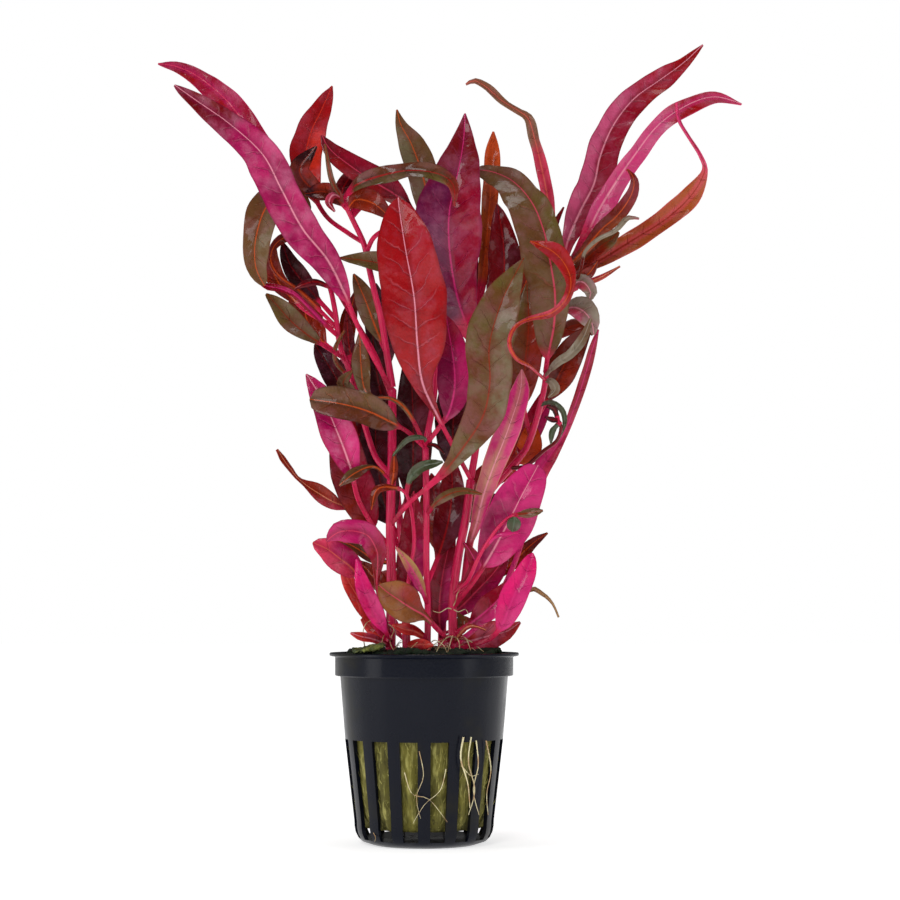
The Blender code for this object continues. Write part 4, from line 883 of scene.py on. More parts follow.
# The looks of the leaves, named by what is seen first
P = Pigment
RED_PALE_RIB = LeafFinish(P.RED, P.RED, P.RED, P.PALE_PINK, P.ROSE, P.DEEP_RED, patches=0.6, tip_from=0.5)
PINK_RED_TIP = LeafFinish(P.RED, P.CRIMSON, P.DEEP_RED, P.ROSE, P.PINK, P.MAGENTA, tip_from=0.75, bloom=0.2)
MAGENTA_DARK_TIP = LeafFinish(P.MAGENTA, P.MAGENTA, P.DEEP_RED, P.PALE_PINK, P.PINK, P.DARK_MAGENTA,
                              tip_from=0.6, patches=0.7, bloom=0.3)
BRIGHT_RED = LeafFinish(P.RED, P.ORANGE_RED, P.RED, P.ORANGE_RED, P.ROSE, P.DEEP_RED)
WET_CRIMSON = LeafFinish(P.RED, P.CRIMSON, P.DEEP_RED, P.ROSE, P.MAGENTA, P.DARK_CRIMSON, wet=1.0)
OLIVE_RED_TIP = LeafFinish(P.BROWN, P.OLIVE, P.RED, P.RED, P.BROWN, P.DARK_BROWN, tip_from=0.72,
                           vein=0.08, wet=1.0)
GREY_AND_BROWN = LeafFinish(P.GREY_OLIVE, P.UMBER, P.UMBER, P.ORANGE, P.UMBER, P.BROWN,
                            tip_from=0.7, vein=0.08)
PLUM_AND_CRIMSON = LeafFinish(P.PLUM, P.CRIMSON, P.DEEP_RED, P.PINK, P.MAGENTA, P.DARK_MAGENTA,
                              wet=1.0, bloom=0.2)
ORANGE_AND_RUST = LeafFinish(P.CHESTNUT, P.ORANGE, P.ORANGE, P.ORANGE, P.RUST, P.RUST, patches=0.3)
RUST_ORANGE_RIB = LeafFinish(P.RUST, P.RUST, P.DARK_RUST, P.ORANGE, P.RUST, P.DARK_RUST)
PLAIN_OLIVE = LeafFinish(P.OLIVE, P.GREY_OLIVE, P.OLIVE, P.RUST, P.BROWN, P.BROWN, vein=0.08)
# Painted shade: maroon and dark crimson for the leaves deep inside the plant, darker than their own red
PAINTED_SHADE_DARK = LeafFinish(P.MAROON, P.DARK_CRIMSON, P.MAROON, P.DEEP_RED, P.DARK_CRIMSON, P.MAROON,
                  vein=0.08, wet=0.4)
BROWN_GREY_TIP = LeafFinish(P.BROWN, P.UMBER, P.GREY_BROWN, P.ORANGE, P.BROWN, P.DARK_BROWN, tip_from=0.7)
MAGENTA_PALE_RIB = LeafFinish(P.MAGENTA, P.PINK, P.MAGENTA, P.PALE_PINK, P.PINK, P.CRIMSON, bloom=0.45)
RUST_AND_CRIMSON = LeafFinish(P.RUST, P.CRIMSON, P.DEEP_RED, P.RED, P.CRIMSON, P.DARK_CRIMSON)
SALMON_RUST_TIP = LeafFinish(P.ROSE, P.SALMON, P.RUST, P.PEACH, P.ROSE, P.RUST, tip_from=0.5)
RED_AND_MAGENTA = LeafFinish(P.RED, P.CRIMSON, P.MAGENTA, P.ROSE, P.MAGENTA, P.DEEP_RED, wet=0.9)
SALMON_AND_MAGENTA = LeafFinish(P.ROSE, P.MAGENTA, P.ROSE, P.SALMON, P.PINK, P.CRIMSON)
ALL_HOT_PINK = LeafFinish(P.HOT_PINK, P.PINK, P.HOT_PINK, P.PINK, P.HOT_PINK, P.MAGENTA,
                          patches=0.6)
ORANGE_OLIVE = LeafFinish(P.TAN_OLIVE, P.RUST, P.TAN_OLIVE, P.ROSE, P.SALMON, P.BROWN, patches=0.4)
SPOTTED_OLIVE = LeafFinish(P.OLIVE, P.GREY_OLIVE, P.OLIVE, P.RUST, P.BROWN, P.BROWN, patches=0.9,
                           tip_from=0.8, vein=0.1)
PURPLE_MAGENTA = LeafFinish(P.DARK_MAGENTA, P.MAGENTA, P.CRIMSON, P.PINK, P.MAGENTA, P.DARK_MAGENTA)
DEEP_CRIMSON = LeafFinish(P.DEEP_RED, P.DARK_CRIMSON, P.DEEP_RED, P.RED, P.CRIMSON, P.DARK_CRIMSON)
BROWN_AND_PINK = LeafFinish(P.ROSE, P.ROSE, P.GREY_OLIVE, P.SALMON, P.ROSE, P.RED, patches=0.3,
                            tip_from=0.45)
PINK_AND_CRIMSON = LeafFinish(P.MAUVE, P.CRIMSON, P.RED, P.PALE_PINK, P.PINK, P.DEEP_RED, patches=0.4,
                              tip_from=0.6, bloom=0.15)
BROWN_RIM_PINK = LeafFinish(P.MAUVE, P.MAUVE, P.RED, P.PALE_PINK, P.PINK, P.PINK, tip_from=0.5,
                            bloom=0.25)
MAROON_CURL = LeafFinish(P.DARK_RUST, P.RUST, P.MAROON, P.RUST, P.ROSE, P.MAROON)
BROWN_AND_OLIVE = LeafFinish(P.UMBER, P.OLIVE, P.UMBER, P.ROSE, P.BROWN, P.BROWN, patches=0.5,
                             vein=0.08)
RUST_PINK_TIP = LeafFinish(P.CHESTNUT, P.CHESTNUT, P.PINK, P.RUST, P.ROSE, P.ROSE, tip_from=0.6,
                           patches=0.1)
RED_AND_BROWN = LeafFinish(P.ROSE, P.RED, P.RED, P.ORANGE, P.ROSE, P.RUST)
DARK_RUST_BLADE = LeafFinish(P.DARK_RUST, P.RUST, P.DARK_RUST, P.RUST, P.RUST, P.MAROON)
WORN_PINK = LeafFinish(P.MAGENTA, P.PINK, P.PINK, P.PALE_PINK, P.PINK, P.TAN, patches=0.35)
PINK_TO_RUST = LeafFinish(P.PINK, P.ROSE, P.RUST, P.PINK, P.ROSE, P.MAGENTA, tip_from=0.55)
TWO_PINKS = LeafFinish(P.DARK_MAGENTA, P.PINK, P.PINK, P.PALE_PINK, P.PINK, P.MAGENTA)
CRIMSON_AND_PINK = LeafFinish(P.CRIMSON, P.PINK, P.CRIMSON, P.PINK, P.PINK, P.DEEP_RED)
PINK_YELLOW_RIM = LeafFinish(P.MAGENTA, P.YELLOW_OLIVE, P.YELLOW_OLIVE, P.PINK, P.PINK, P.MAGENTA)
GREEN_LEAF = LeafFinish(P.GREY_GREEN, P.GREEN, P.GREEN, P.GREY_GREEN, P.GREEN, P.GREEN, vein=0.06)
CRUMPLED_PALE = LeafFinish(P.PALE_GREY, P.ROSE, P.PALE_GREY, P.PALE_PINK, P.GREY_BROWN, P.GREY_BROWN,
                           bloom=0.4)
TAN_AND_BROWN = LeafFinish(P.TAN, P.BROWN, P.TAN, P.TAN, P.TAN, P.BROWN)
ROSE_CRINKLE = LeafFinish(P.CORAL, P.ROSE, P.CORAL, P.PALE_PINK, P.CORAL, P.RED, bloom=0.5)
CORAL = LeafFinish(P.CORAL, P.RED, P.CORAL, P.SALMON, P.ROSE, P.RED)
CRIMSON_INNER = LeafFinish(P.CRIMSON, P.MAGENTA, P.CRIMSON, P.ROSE, P.PINK, P.DEEP_RED)
ORANGE_BLADE = LeafFinish(P.ORANGE, P.ORANGE, P.ORANGE, P.ORANGE, P.RUST, P.RUST, patches=0.3)
CURLED_RUST = LeafFinish(P.DARK_RUST, P.CHESTNUT, P.DEEP_RED, P.ORANGE, P.ROSE, P.DARK_RUST,
                         patches=0.3)
BROWN_LEAF = LeafFinish(P.BROWN, P.RUST, P.OLIVE, P.RUST, P.BROWN, P.DARK_RUST, vein=0.08)
GREY_LEAF = LeafFinish(P.PALE_GREY, P.PALE_GREY, P.GREY_BROWN, P.PALE_GREY, P.PALE_GREY, P.GREY_OLIVE,
                       stalk=P.PALE_GREY, vein=0.05)
GREY_PINK_END = LeafFinish(P.PALE_GREY, P.PALE_GREY, P.MAGENTA, P.PALE_GREY, P.PINK, P.GREY_OLIVE,
                           stalk=P.DARK_RUST, tip_from=0.8, vein=0.05)
GREY_ROSE = LeafFinish(P.RED, P.ROSE, P.RED, P.PALE_PINK, P.PALE_GREY, P.DEEP_RED, bloom=0.5)


STEMS = (
    StemPlan("stem_left", 1.4, (
        (-9.6, 53.8, -4), (-9.4, 75, -5), (-9.7, 90, -6), (-9.3, 110, -7), (-9.2, 130, -7)),
        end_radius=1.15),
    StemPlan("stem_left_upper", 1.0, (
        (-9.5, 131.5, -7), (-11, 141, -8), (-12.5, 150, -9), (-14.5, 158, -10), (-16.3, 166, -10),
        (-17.5, 171.5, -10), (-20.5, 178, -10), (-24, 185, -10)), on="stem_left", end_radius=0.7),
    StemPlan("stem_left_shoot", 0.85, (
        (-10.6, 104, -6), (-14, 110, -4), (-16.5, 117, -3), (-19, 126, -3), (-21.5, 134.5, -4),
        (-24.3, 142, -5), (-25.4, 150, -5), (-26.5, 156, -5), (-27.4, 159.5, -5)),
        on="stem_left", end_radius=0.7),
    StemPlan("stem_centre", 0.9, (
        (0.9, 53.8, -8), (1, 66, -8), (0.6, 80, -8), (0.6, 95, -9), (0.3, 113.2, -10))),
    StemPlan("stem_centre_upper", 0.9, (
        (0.4, 114.5, -9), (3, 130, -6), (2.5, 148, -4), (0, 165, -4), (-1, 176, -4)),
        on="stem_centre", end_radius=0.6),
    StemPlan("stem_right", 1.2, (
        (8.2, 53.8, -3), (8.1, 62, -3), (8.1, 68, -3), (8.8, 75, -3.5), (10, 83, -4), (12, 93, -5),
        (13.4, 104, -6))),
    StemPlan("stem_right_upper", 1.0, (
        (14, 106, -6), (15, 114, -3), (16, 125, 0), (16, 138, 2), (15, 151, 3)),
        on="stem_right", end_radius=0.7),
    StemPlan("stem_right_outer", 1.1, (
        (8.7, 67, -3), (11.5, 74, 0), (12.8, 84, 1), (15.2, 93, 2), (19, 100, 3), (24, 106, 3.5),
        (29, 112, 3), (32, 120, 0), (34.3, 129, -4), (35, 134.3, -6.5)),
        on="stem_right", end_radius=0.8),
    StemPlan("stem_right_far", 0.9, (
        (29, 112, 3), (32, 120, 7.5), (35, 132, 10), (37.5, 146, 10), (40, 157, 9), (41.5, 166, 8)),
        on="stem_right_outer", end_radius=0.7),
    StemPlan("stem_back_left", 1.2, (
        (-5, 53.8, 8), (-6, 80, 12), (-9, 110, 18), (-12, 135, 23)), end_radius=0.8),
    StemPlan("stem_back_right", 1.2, (
        (5, 53.8, 9), (6, 85, 14), (10, 115, 20), (14, 141, 25)), end_radius=0.8),
    StemPlan("shoot_front_thin", 0.65, (
        (-5.5, 53.8, -10), (-5.2, 66, -10.5), (-4.3, 76, -11), (-2.9, 85, -11.5), (-3.6, 94, -11.5),
        (-5.3, 99.5, -11.5), (-7.6, 100.9, -11.5)), end_radius=0.5),
    StemPlan("shoot_front_small", 0.6, (
        (9.4, 70, -5), (12.5, 74.5, -10), (15.5, 81, -14), (18, 85.3, -16), (21, 89.5, -18),
        (24, 92.4, -19), (26.4, 93.5, -19)), on="stem_right", end_radius=0.45),
    StemPlan("shoot_dark_sprig", 0.6, (
        (25.5, 106.5, 4), (29.5, 107.5, 0), (34, 111.5, -4), (38, 114.6, -8), (39.3, 118.5, -10),
        (38.2, 121, -10)), on="stem_right_outer", end_radius=0.5),
)

LEAVES = (
    LeafPlan("leaf_top_left_back", "stem_left", 9.5, (
        (-9.3, 127, -6), (-14.5, 140, -3), (-21, 151, -2), (-28, 163, 1), (-37, 179, 5), (-46, 196, 9),
        (-55, 210.5, 13), (-64, 219, 16), (-71, 222.8, 18), (-77, 223.8, 20)),
        PINK_RED_TIP, petiole=0.3, turn=(10, -10), fullness=0.6, lean=-0.15),
    LeafPlan("leaf_top_left_front", "stem_left", 11.0, (
        (-9.3, 129.5, -7), (-14.5, 138.5, -11), (-19, 147.5, -12.5), (-23, 157, -14), (-28, 166.8, -17),
        (-35.2, 175.8, -20), (-41.4, 187.4, -23), (-46.8, 197.4, -26), (-56, 206, -29),
        (-65.6, 212.8, -31), (-72.4, 217.6, -32)),
        MAGENTA_DARK_TIP, petiole=0.24, fullness=0.6, lean=-0.15),
    LeafPlan("leaf_left_red_upright", "stem_left_upper", 9.5, (
        (-17.3, 171.5, -10), (-22, 174.5, -7), (-28, 179, -4), (-32, 186, -2), (-34.3, 196, 1),
        (-32.8, 204, 4), (-30, 210, 7), (-26.8, 217.3, 10)), BRIGHT_RED, petiole=0.3),
    LeafPlan("leaf_middle_shiny", "stem_centre_upper", 9.5, (
        (-1, 174.5, -4), (-3.5, 181.5, -8), (-9, 186, -10), (-14, 189, -11), (-20, 193, -12),
        (-27, 198.5, -12), (-29.8, 203, -12)), WET_CRIMSON, petiole=0.15, turn=(15, 15)),
    LeafPlan("leaf_middle_olive_arch", "stem_left_upper", (1.4, 4, 5, 4.9, 4.4, 3.2, 0.6), (
        (-23.8, 184.5, -10), (-19.5, 188.6, -18), (-12, 191.4, -21), (-4, 192.8, -22.5),
        (4, 191.8, -23), (8.3, 188.6, -23), (8.6, 182.5, -22)), OLIVE_RED_TIP, petiole=0.12),
    LeafPlan("leaf_middle_brown", "stem_centre_upper", (1.4, 6, 8.8, 8, 3.4, 0.6), (
        (-0.8, 172, -4), (1.2, 180, -1), (-0.2, 190, 2), (-3.6, 200, 5), (-6.8, 206, 8), (-8, 210.4, 10)),
        GREY_AND_BROWN, petiole=0.1),
    LeafPlan("leaf_middle_plum", "stem_right_upper", (1.4, 6, 12, 17, 18.6, 12.5, 7, 0.6), (
        (15.5, 140, 2), (12, 148, -3), (9, 158, -7), (7.2, 170, -10), (7.2, 181, -12), (9.8, 193, -11),
        (11.2, 201, -9), (11.7, 209.4, -7)), PLUM_AND_CRIMSON, petiole=0.12),
    LeafPlan("leaf_middle_orange_tip", "stem_right_upper", (1.4, 3, 4.4, 4.9, 4.2, 0.6), (
        (15, 150, 3), (17, 163, 6), (18.3, 177, 9), (19.3, 190, 11), (19.7, 198.5, 12),
        (19.9, 204.2, 12)), ORANGE_AND_RUST, petiole=0.15),
    LeafPlan("leaf_front_red", "stem_right", (1.4, 1.4, 1.6, 6, 14.5, 17.8, 15.5, 8, 1.2), (
        (13.2, 103.5, -6), (8.5, 112.5, -14), (3.8, 121.5, -20), (-0.5, 131, -24), (-2, 142, -27),
        (-3, 156, -29), (-5.5, 170, -30), (-7.2, 181, -29), (-7.6, 184.7, -28)),
        RED_PALE_RIB, petiole=0.22),
    LeafPlan("leaf_left_drooping", "stem_left_shoot", 10.0, (
        (-27.3, 159, -5), (-30.6, 171.6, -5), (-35.8, 182.8, -6), (-41.6, 186.4, -9), (-46.2, 181, -12),
        (-48.7, 172, -14), (-48.5, 164.5, -14), (-46, 159.3, -13)),
        GREY_AND_BROWN, petiole=0.3, turn=(0, 20), fullness=0.5, lean=-0.15),
    LeafPlan("leaf_left_rust_long", "stem_left_shoot", 9.5, (
        (-23.2, 139, -4), (-28.5, 142.3, 0), (-33, 147.5, 1.5), (-34.8, 153.5, 2), (-35.2, 158.5, 2),
        (-34.5, 163, 1.5)), RUST_ORANGE_RIB),
    LeafPlan("leaf_left_olive", "stem_left_shoot", 7.0, (
        (-22.9, 138.5, -4.5), (-28.7, 141.7, -15), (-34, 145.2, -15), (-38.5, 149, -13.5),
        (-42, 153, -13), (-45.6, 156.8, -12)), PLAIN_OLIVE, petiole=0.35, turn=(0, 30), fullness=0.55),
    LeafPlan("leaf_left_dark", "stem_left_shoot", 7.5, (
        (-18, 122.5, -3), (-22.5, 128, 2), (-26.5, 134.5, 3), (-31.5, 142.3, 4)), PAINTED_SHADE_DARK, petiole=0.15),
    LeafPlan("leaf_left_brown_oval", "stem_centre", 9.8, (
        (0.3, 112.6, -10), (-5, 117.2, -15), (-9.5, 119.8, -18), (-15, 122.5, -20), (-20, 124.2, -21),
        (-26, 125.5, -21), (-32.9, 126.4, -20)),
        BROWN_GREY_TIP, petiole=0.26, widest=0.55, fullness=0.55),
    LeafPlan("leaf_left_pink", "stem_left", 9.6, (
        (-9.8, 84, -5), (-15, 90.5, -6), (-19, 98, -8), (-20.8, 105.5, -11), (-23, 112, -13),
        (-25, 117, -14), (-28, 124, -14), (-31.5, 130, -13), (-33.9, 133.6, -12)),
        MAGENTA_PALE_RIB, petiole=0.35),
    LeafPlan("leaf_left_crimson_broad", "stem_left", 11.5, (
        (-9.6, 79, -5), (-14.5, 88, -0.5), (-18.8, 98, 1), (-21.7, 107, 1.5), (-22.5, 115, 1.5),
        (-21.5, 122, 1)), RUST_AND_CRIMSON, fullness=0.55),
    LeafPlan("leaf_left_inner", "stem_back_left", 11.0, (
        (-6, 80, 12), (-10, 92, 9), (-13, 105, 7), (-14, 117, 7), (-12.5, 128, 8)), PAINTED_SHADE_DARK, petiole=0.15),
    LeafPlan("leaf_left_narrow", "stem_back_left", (1.2, 1.2, 1.3, 4.4, 4.8, 1.7, 2.4, 2.3, 0.6), (
        (-6, 75, 11.5), (-14.5, 87, 8), (-20.8, 94.5, 4), (-26, 96.9, 0), (-31, 99.8, -2),
        (-36, 103.3, -3), (-38.7, 106.6, -3), (-41, 109.8, -3), (-42.3, 112, -3)),
        SALMON_RUST_TIP, petiole=0.0, turn=(0, 0, 0, 25, 40)),
    LeafPlan("leaf_left_hood", "stem_left", (1.2, 1.2, 1.3, 3.4, 5.6, 6.6, 6.8, 6, 3, 0.6), (
        (-9.6, 58, -4.5), (-11.7, 64.5, -14.5), (-13.5, 73, -15.5), (-13.3, 79.5, -16),
        (-13.6, 83, -17), (-16, 87.2, -19), (-20, 88.6, -21), (-24, 88.5, -21), (-26.6, 87, -20),
        (-27.8, 85.8, -19)), RED_AND_MAGENTA, petiole=0.0, turn=(0, 0, -20)),
    LeafPlan("leaf_low_left_salmon", "stem_left", 8.0, (
        (-9.6, 57, -4.5), (-13.5, 65, -6.5), (-17, 71.5, -9), (-20, 77.2, -12), (-24, 80.6, -15),
        (-28, 83.6, -16), (-31.9, 85.3, -16)), SALMON_AND_MAGENTA, petiole=0.5, fullness=0.55),
    LeafPlan("leaf_low_left_red", "stem_left", 5.0, (
        (-9.6, 55.5, -4.5), (-14.5, 62, -3), (-18.5, 69, -4), (-21.5, 74, -5), (-23.6, 78.5, -6)),
        CORAL, fullness=0.6),
    LeafPlan("leaf_low_left_pink", "stem_left", 5.2, (
        (-9.2, 56.5, -5), (-10.5, 59, -15), (-14, 65, -19), (-16.8, 71, -21), (-18.3, 76, -21),
        (-19.4, 80.5, -20)), ALL_HOT_PINK, petiole=0.3),
    LeafPlan("leaf_low_front_oval", "stem_right", (1.4, 1.4, 2.4, 8.6, 10, 8, 1.2), (
        (8, 56.5, -3.5), (4, 60.3, -13), (0.3, 64.2, -18), (-3.4, 66.4, -21), (-6.8, 68.6, -23.5),
        (-10.6, 71.2, -24.5), (-13, 73.2, -25)), ORANGE_OLIVE, petiole=0.38),
    LeafPlan("leaf_front_olive", "stem_left",
        (1.4, 1.4, 1.6, 2.6, 6.8, 10.6, 12, 13.2, 12.6, 9.6, 5, 0.6), (
        (-9.5, 90, -6), (-4, 97, -15), (1, 101.2, -19), (5.5, 105.3, -21), (11.5, 113, -25),
        (16.8, 121.5, -28), (18.8, 131, -31), (18.6, 141, -32), (20.3, 149, -32), (23, 156.5, -31),
        (26, 162.4, -30), (28.6, 167.2, -28)), SPOTTED_OLIVE, petiole=0.25),
    LeafPlan("leaf_front_magenta", "stem_centre", 10.0, (
        (0.4, 113, -10), (4, 118, -13), (7, 122.5, -15), (8.7, 130, -16), (8.3, 138, -16),
        (6.2, 150.7, -14)), PURPLE_MAGENTA),
    LeafPlan("leaf_middle_dark_red", "stem_right_upper", 10.0, (
        (16.2, 136, 2), (20.5, 147, 2), (22.7, 159, 2), (22.8, 171, 3), (21, 183, 4)),
        DEEP_CRIMSON, petiole=0.15),
    LeafPlan("leaf_right_rust_inner", "stem_right_far", 9.5, (
        (30.5, 116, 5.5), (28.5, 125, 4), (29, 137, 3), (30, 148, 3), (29.5, 160, 4)),
        BROWN_LEAF, petiole=0.15),
    LeafPlan("leaf_centre_crimson", "stem_centre", 8.5, (
        (0.7, 73, -8), (4.2, 82, -3), (7, 92, 1), (8, 102, 2.5), (7.3, 111, 3)),
        DEEP_CRIMSON, petiole=0.15),
    LeafPlan("leaf_right_twisted", "stem_right_far",
        (1.3, 1.8, 3.4, 3.6, 3.6, 3.4, 3, 2.6, 2.8, 2.7, 2, 0.6), (
        (39, 153, 9.5), (37.2, 166, 6), (36.3, 178, 2), (35.2, 187, 1), (33.6, 195, 0),
        (31.8, 202.6, 0), (30, 208, -1), (27, 210.3, -1), (22, 213.4, -1), (18, 217, -1),
        (14.5, 219, -1), (12, 218, -1)), BROWN_AND_PINK, petiole=0.0, turn=(0, 20, 0, -30, 30, 0)),
    LeafPlan("leaf_top_right_broad", "stem_right_far", (1.4, 1.8, 4, 9, 10.4, 9.6, 8.9, 8.4, 7, 4, 0.6), (
        (40.3, 157, 9), (40.3, 165.5, 4), (41.4, 172.5, 2.6), (45, 181, 3.6), (49, 189, 6), (50.8, 197, 8),
        (54.6, 206, 11), (60.6, 213.8, 14), (68.2, 219.4, 17), (75, 224.4, 19), (80.7, 229.7, 21)),
        PINK_AND_CRIMSON, petiole=0.1, lean=0.1),
    LeafPlan("leaf_top_right_arching", "stem_right_far", (1.4, 3.6, 6.2, 6, 5.2, 5.2, 5.6, 4, 0.6), (
        (41.4, 165.8, 8), (46, 172.5, 0.2), (50.2, 181, 0), (55, 189, 0), (60.5, 197, 1),
        (67.5, 206, 4), (76, 212, 8), (84, 214.5, 11), (91.8, 212.4, 14)),
        BROWN_RIM_PINK, petiole=0.15, lean=0.2),
    LeafPlan("leaf_top_right_curled", "stem_right_far", (1.4, 2.6, 4.4, 4.4, 4.2, 4, 3, 0.6), (
        (41.1, 164, 8.3), (46, 169.6, 0), (51, 175.6, -4), (54.8, 178.9, -5.5), (57.6, 182.2, -8),
        (60, 186.5, -11), (60.4, 190.3, -14), (58.6, 193.2, -16)),
        CURLED_RUST, petiole=0.0, turn=(0, 10, 30)),
    LeafPlan("leaf_right_olive_arch", "stem_right_outer", 12.4, (
        (35, 134.3, -6.5), (36, 141, -11), (37.3, 148, -14), (37.6, 157, -17), (36.3, 166, -19),
        (34.5, 175, -18), (31, 183.5, -14), (25.5, 189.7, -8), (19, 192.6, -3), (14.5, 192.8, 0)),
        BROWN_AND_OLIVE, petiole=0.04, fullness=0.5, lean=-0.29),
    LeafPlan("leaf_right_rust_curl", "stem_right_far", (1.5, 4.6, 6, 6.4, 5.8, 2, 1.5, 1.7, 1.9, 0.6), (
        (40.9, 162, 8.5), (50.4, 166.6, 8), (59.8, 172.4, 6), (70, 178.9, 3), (77.2, 185.8, 0),
        (80.9, 192.6, -3), (79.6, 197.5, -5), (76, 203.5, -7), (73.6, 208, -8), (73, 212.8, -8)),
        RUST_PINK_TIP, petiole=0.0, turn=(0, 0, 0, 20, 60)),
    LeafPlan("leaf_right_looped", "stem_right_outer",
             (1.2, 1.2, 1.2, 1.2, 1.2, 1.3, 2.2, 2.5, 2.6, 4.6, 5.2, 0.6), (
        (34.8, 132.6, -6), (30.5, 135.9, -27), (26.3, 138.3, -36), (24.4, 142.8, -38.5),
        (26, 147.3, -37), (30, 149.7, -33), (36, 151.3, -29), (40.5, 155, -27), (42.2, 160, -26),
        (40.8, 165, -26), (37, 169.3, -26), (30.5, 172.2, -25)),
        RED_AND_BROWN, petiole=0.0, turn=(0, 0, 0, 0, 40, 0, 0)),
    LeafPlan("leaf_right_dark_rust", "stem_right_far", 9.0, (
        (32.5, 121, 8), (36, 128, 5), (39, 134, 4), (42, 139.5, 4), (45, 144, 3), (48, 147.7, 3)),
        DARK_RUST_BLADE, petiole=0.1),
    LeafPlan("leaf_right_pink_narrow", "stem_right_outer", (1.4, 3.2, 5, 6.2, 6.8, 6.6, 5.2, 0.6), (
        (12.8, 83, 1), (15, 91, -7), (17, 99, -11), (19.8, 107, -15), (23, 115, -18), (25.5, 122, -19),
        (27.6, 129, -19), (28, 135, -18)), WORN_PINK, petiole=0.0),
    LeafPlan("leaf_right_long_thin", "stem_right",
        (1.6, 1.6, 1.6, 1.6, 1.8, 3, 5, 4.8, 2.4, 2.6, 2.6, 2.4, 0.6), (
        (8.5, 55.5, -3), (18.5, 64.5, 5), (22.5, 72, 6), (26, 80, 6), (28.5, 88, 6), (30.4, 97, 6),
        (33, 105.3, 5.5), (36, 110.2, 5), (39.6, 115.6, 4), (43.4, 125, 3), (46.3, 134, 2),
        (48.3, 141, 1), (50, 146.7, 1)), PINK_TO_RUST, petiole=0.0, turn=(0, 0, 20)),
    LeafPlan("leaf_low_right_pink", "stem_right", 13.6, (
        (8.2, 66.5, -3), (13.2, 73, -8), (17, 78.5, -10), (20.5, 84.5, -12), (24, 91, -14),
        (27.5, 98, -15), (30.5, 103.5, -14), (32.6, 107.4, -12)),
        TWO_PINKS, petiole=0.28, widest=0.5, fullness=0.55),
    LeafPlan("leaf_low_right_rust", "stem_back_right", 4.6, (
        (5.5, 65, 10.5), (15, 69, 12.5), (22, 76.5, 12), (27, 81.3, 11), (31, 85, 9), (35.3, 88.1, 8)),
        RUST_ORANGE_RIB, petiole=0.45),
    LeafPlan("leaf_low_right_hot_pink", "stem_right", 7.6, (
        (8.5, 54.8, -4), (14, 56.2, -10), (19, 58, -13), (22, 61.5, -15), (23.8, 65.5, -16),
        (26, 71, -16), (29, 76.5, -15), (31, 82.3, -13)),
        ALL_HOT_PINK, petiole=0.4, fullness=0.6),
    LeafPlan("leaf_low_right_crimson", "stem_right", 7.0, (
        (8.4, 58.5, -3.5), (14, 62.8, -7.5), (18, 66, -9), (21.5, 69.5, -9), (25.4, 75, -8)),
        CRIMSON_AND_PINK),
    LeafPlan("leaf_back_tall", "stem_back_right", 13.0, (
        (14, 141, 25), (12, 154, 31), (9, 169, 37), (8, 184, 41), (9, 198, 42)),
        DEEP_CRIMSON, petiole=0.1, facing=UPWARD),
    LeafPlan("leaf_back_right", "stem_back_right", 12.0, (
        (13.5, 137, 24), (23, 149, 32), (30, 162, 39), (33, 175, 43), (32.5, 186, 44)),
        RUST_ORANGE_RIB, petiole=0.12, facing=UPWARD),
)

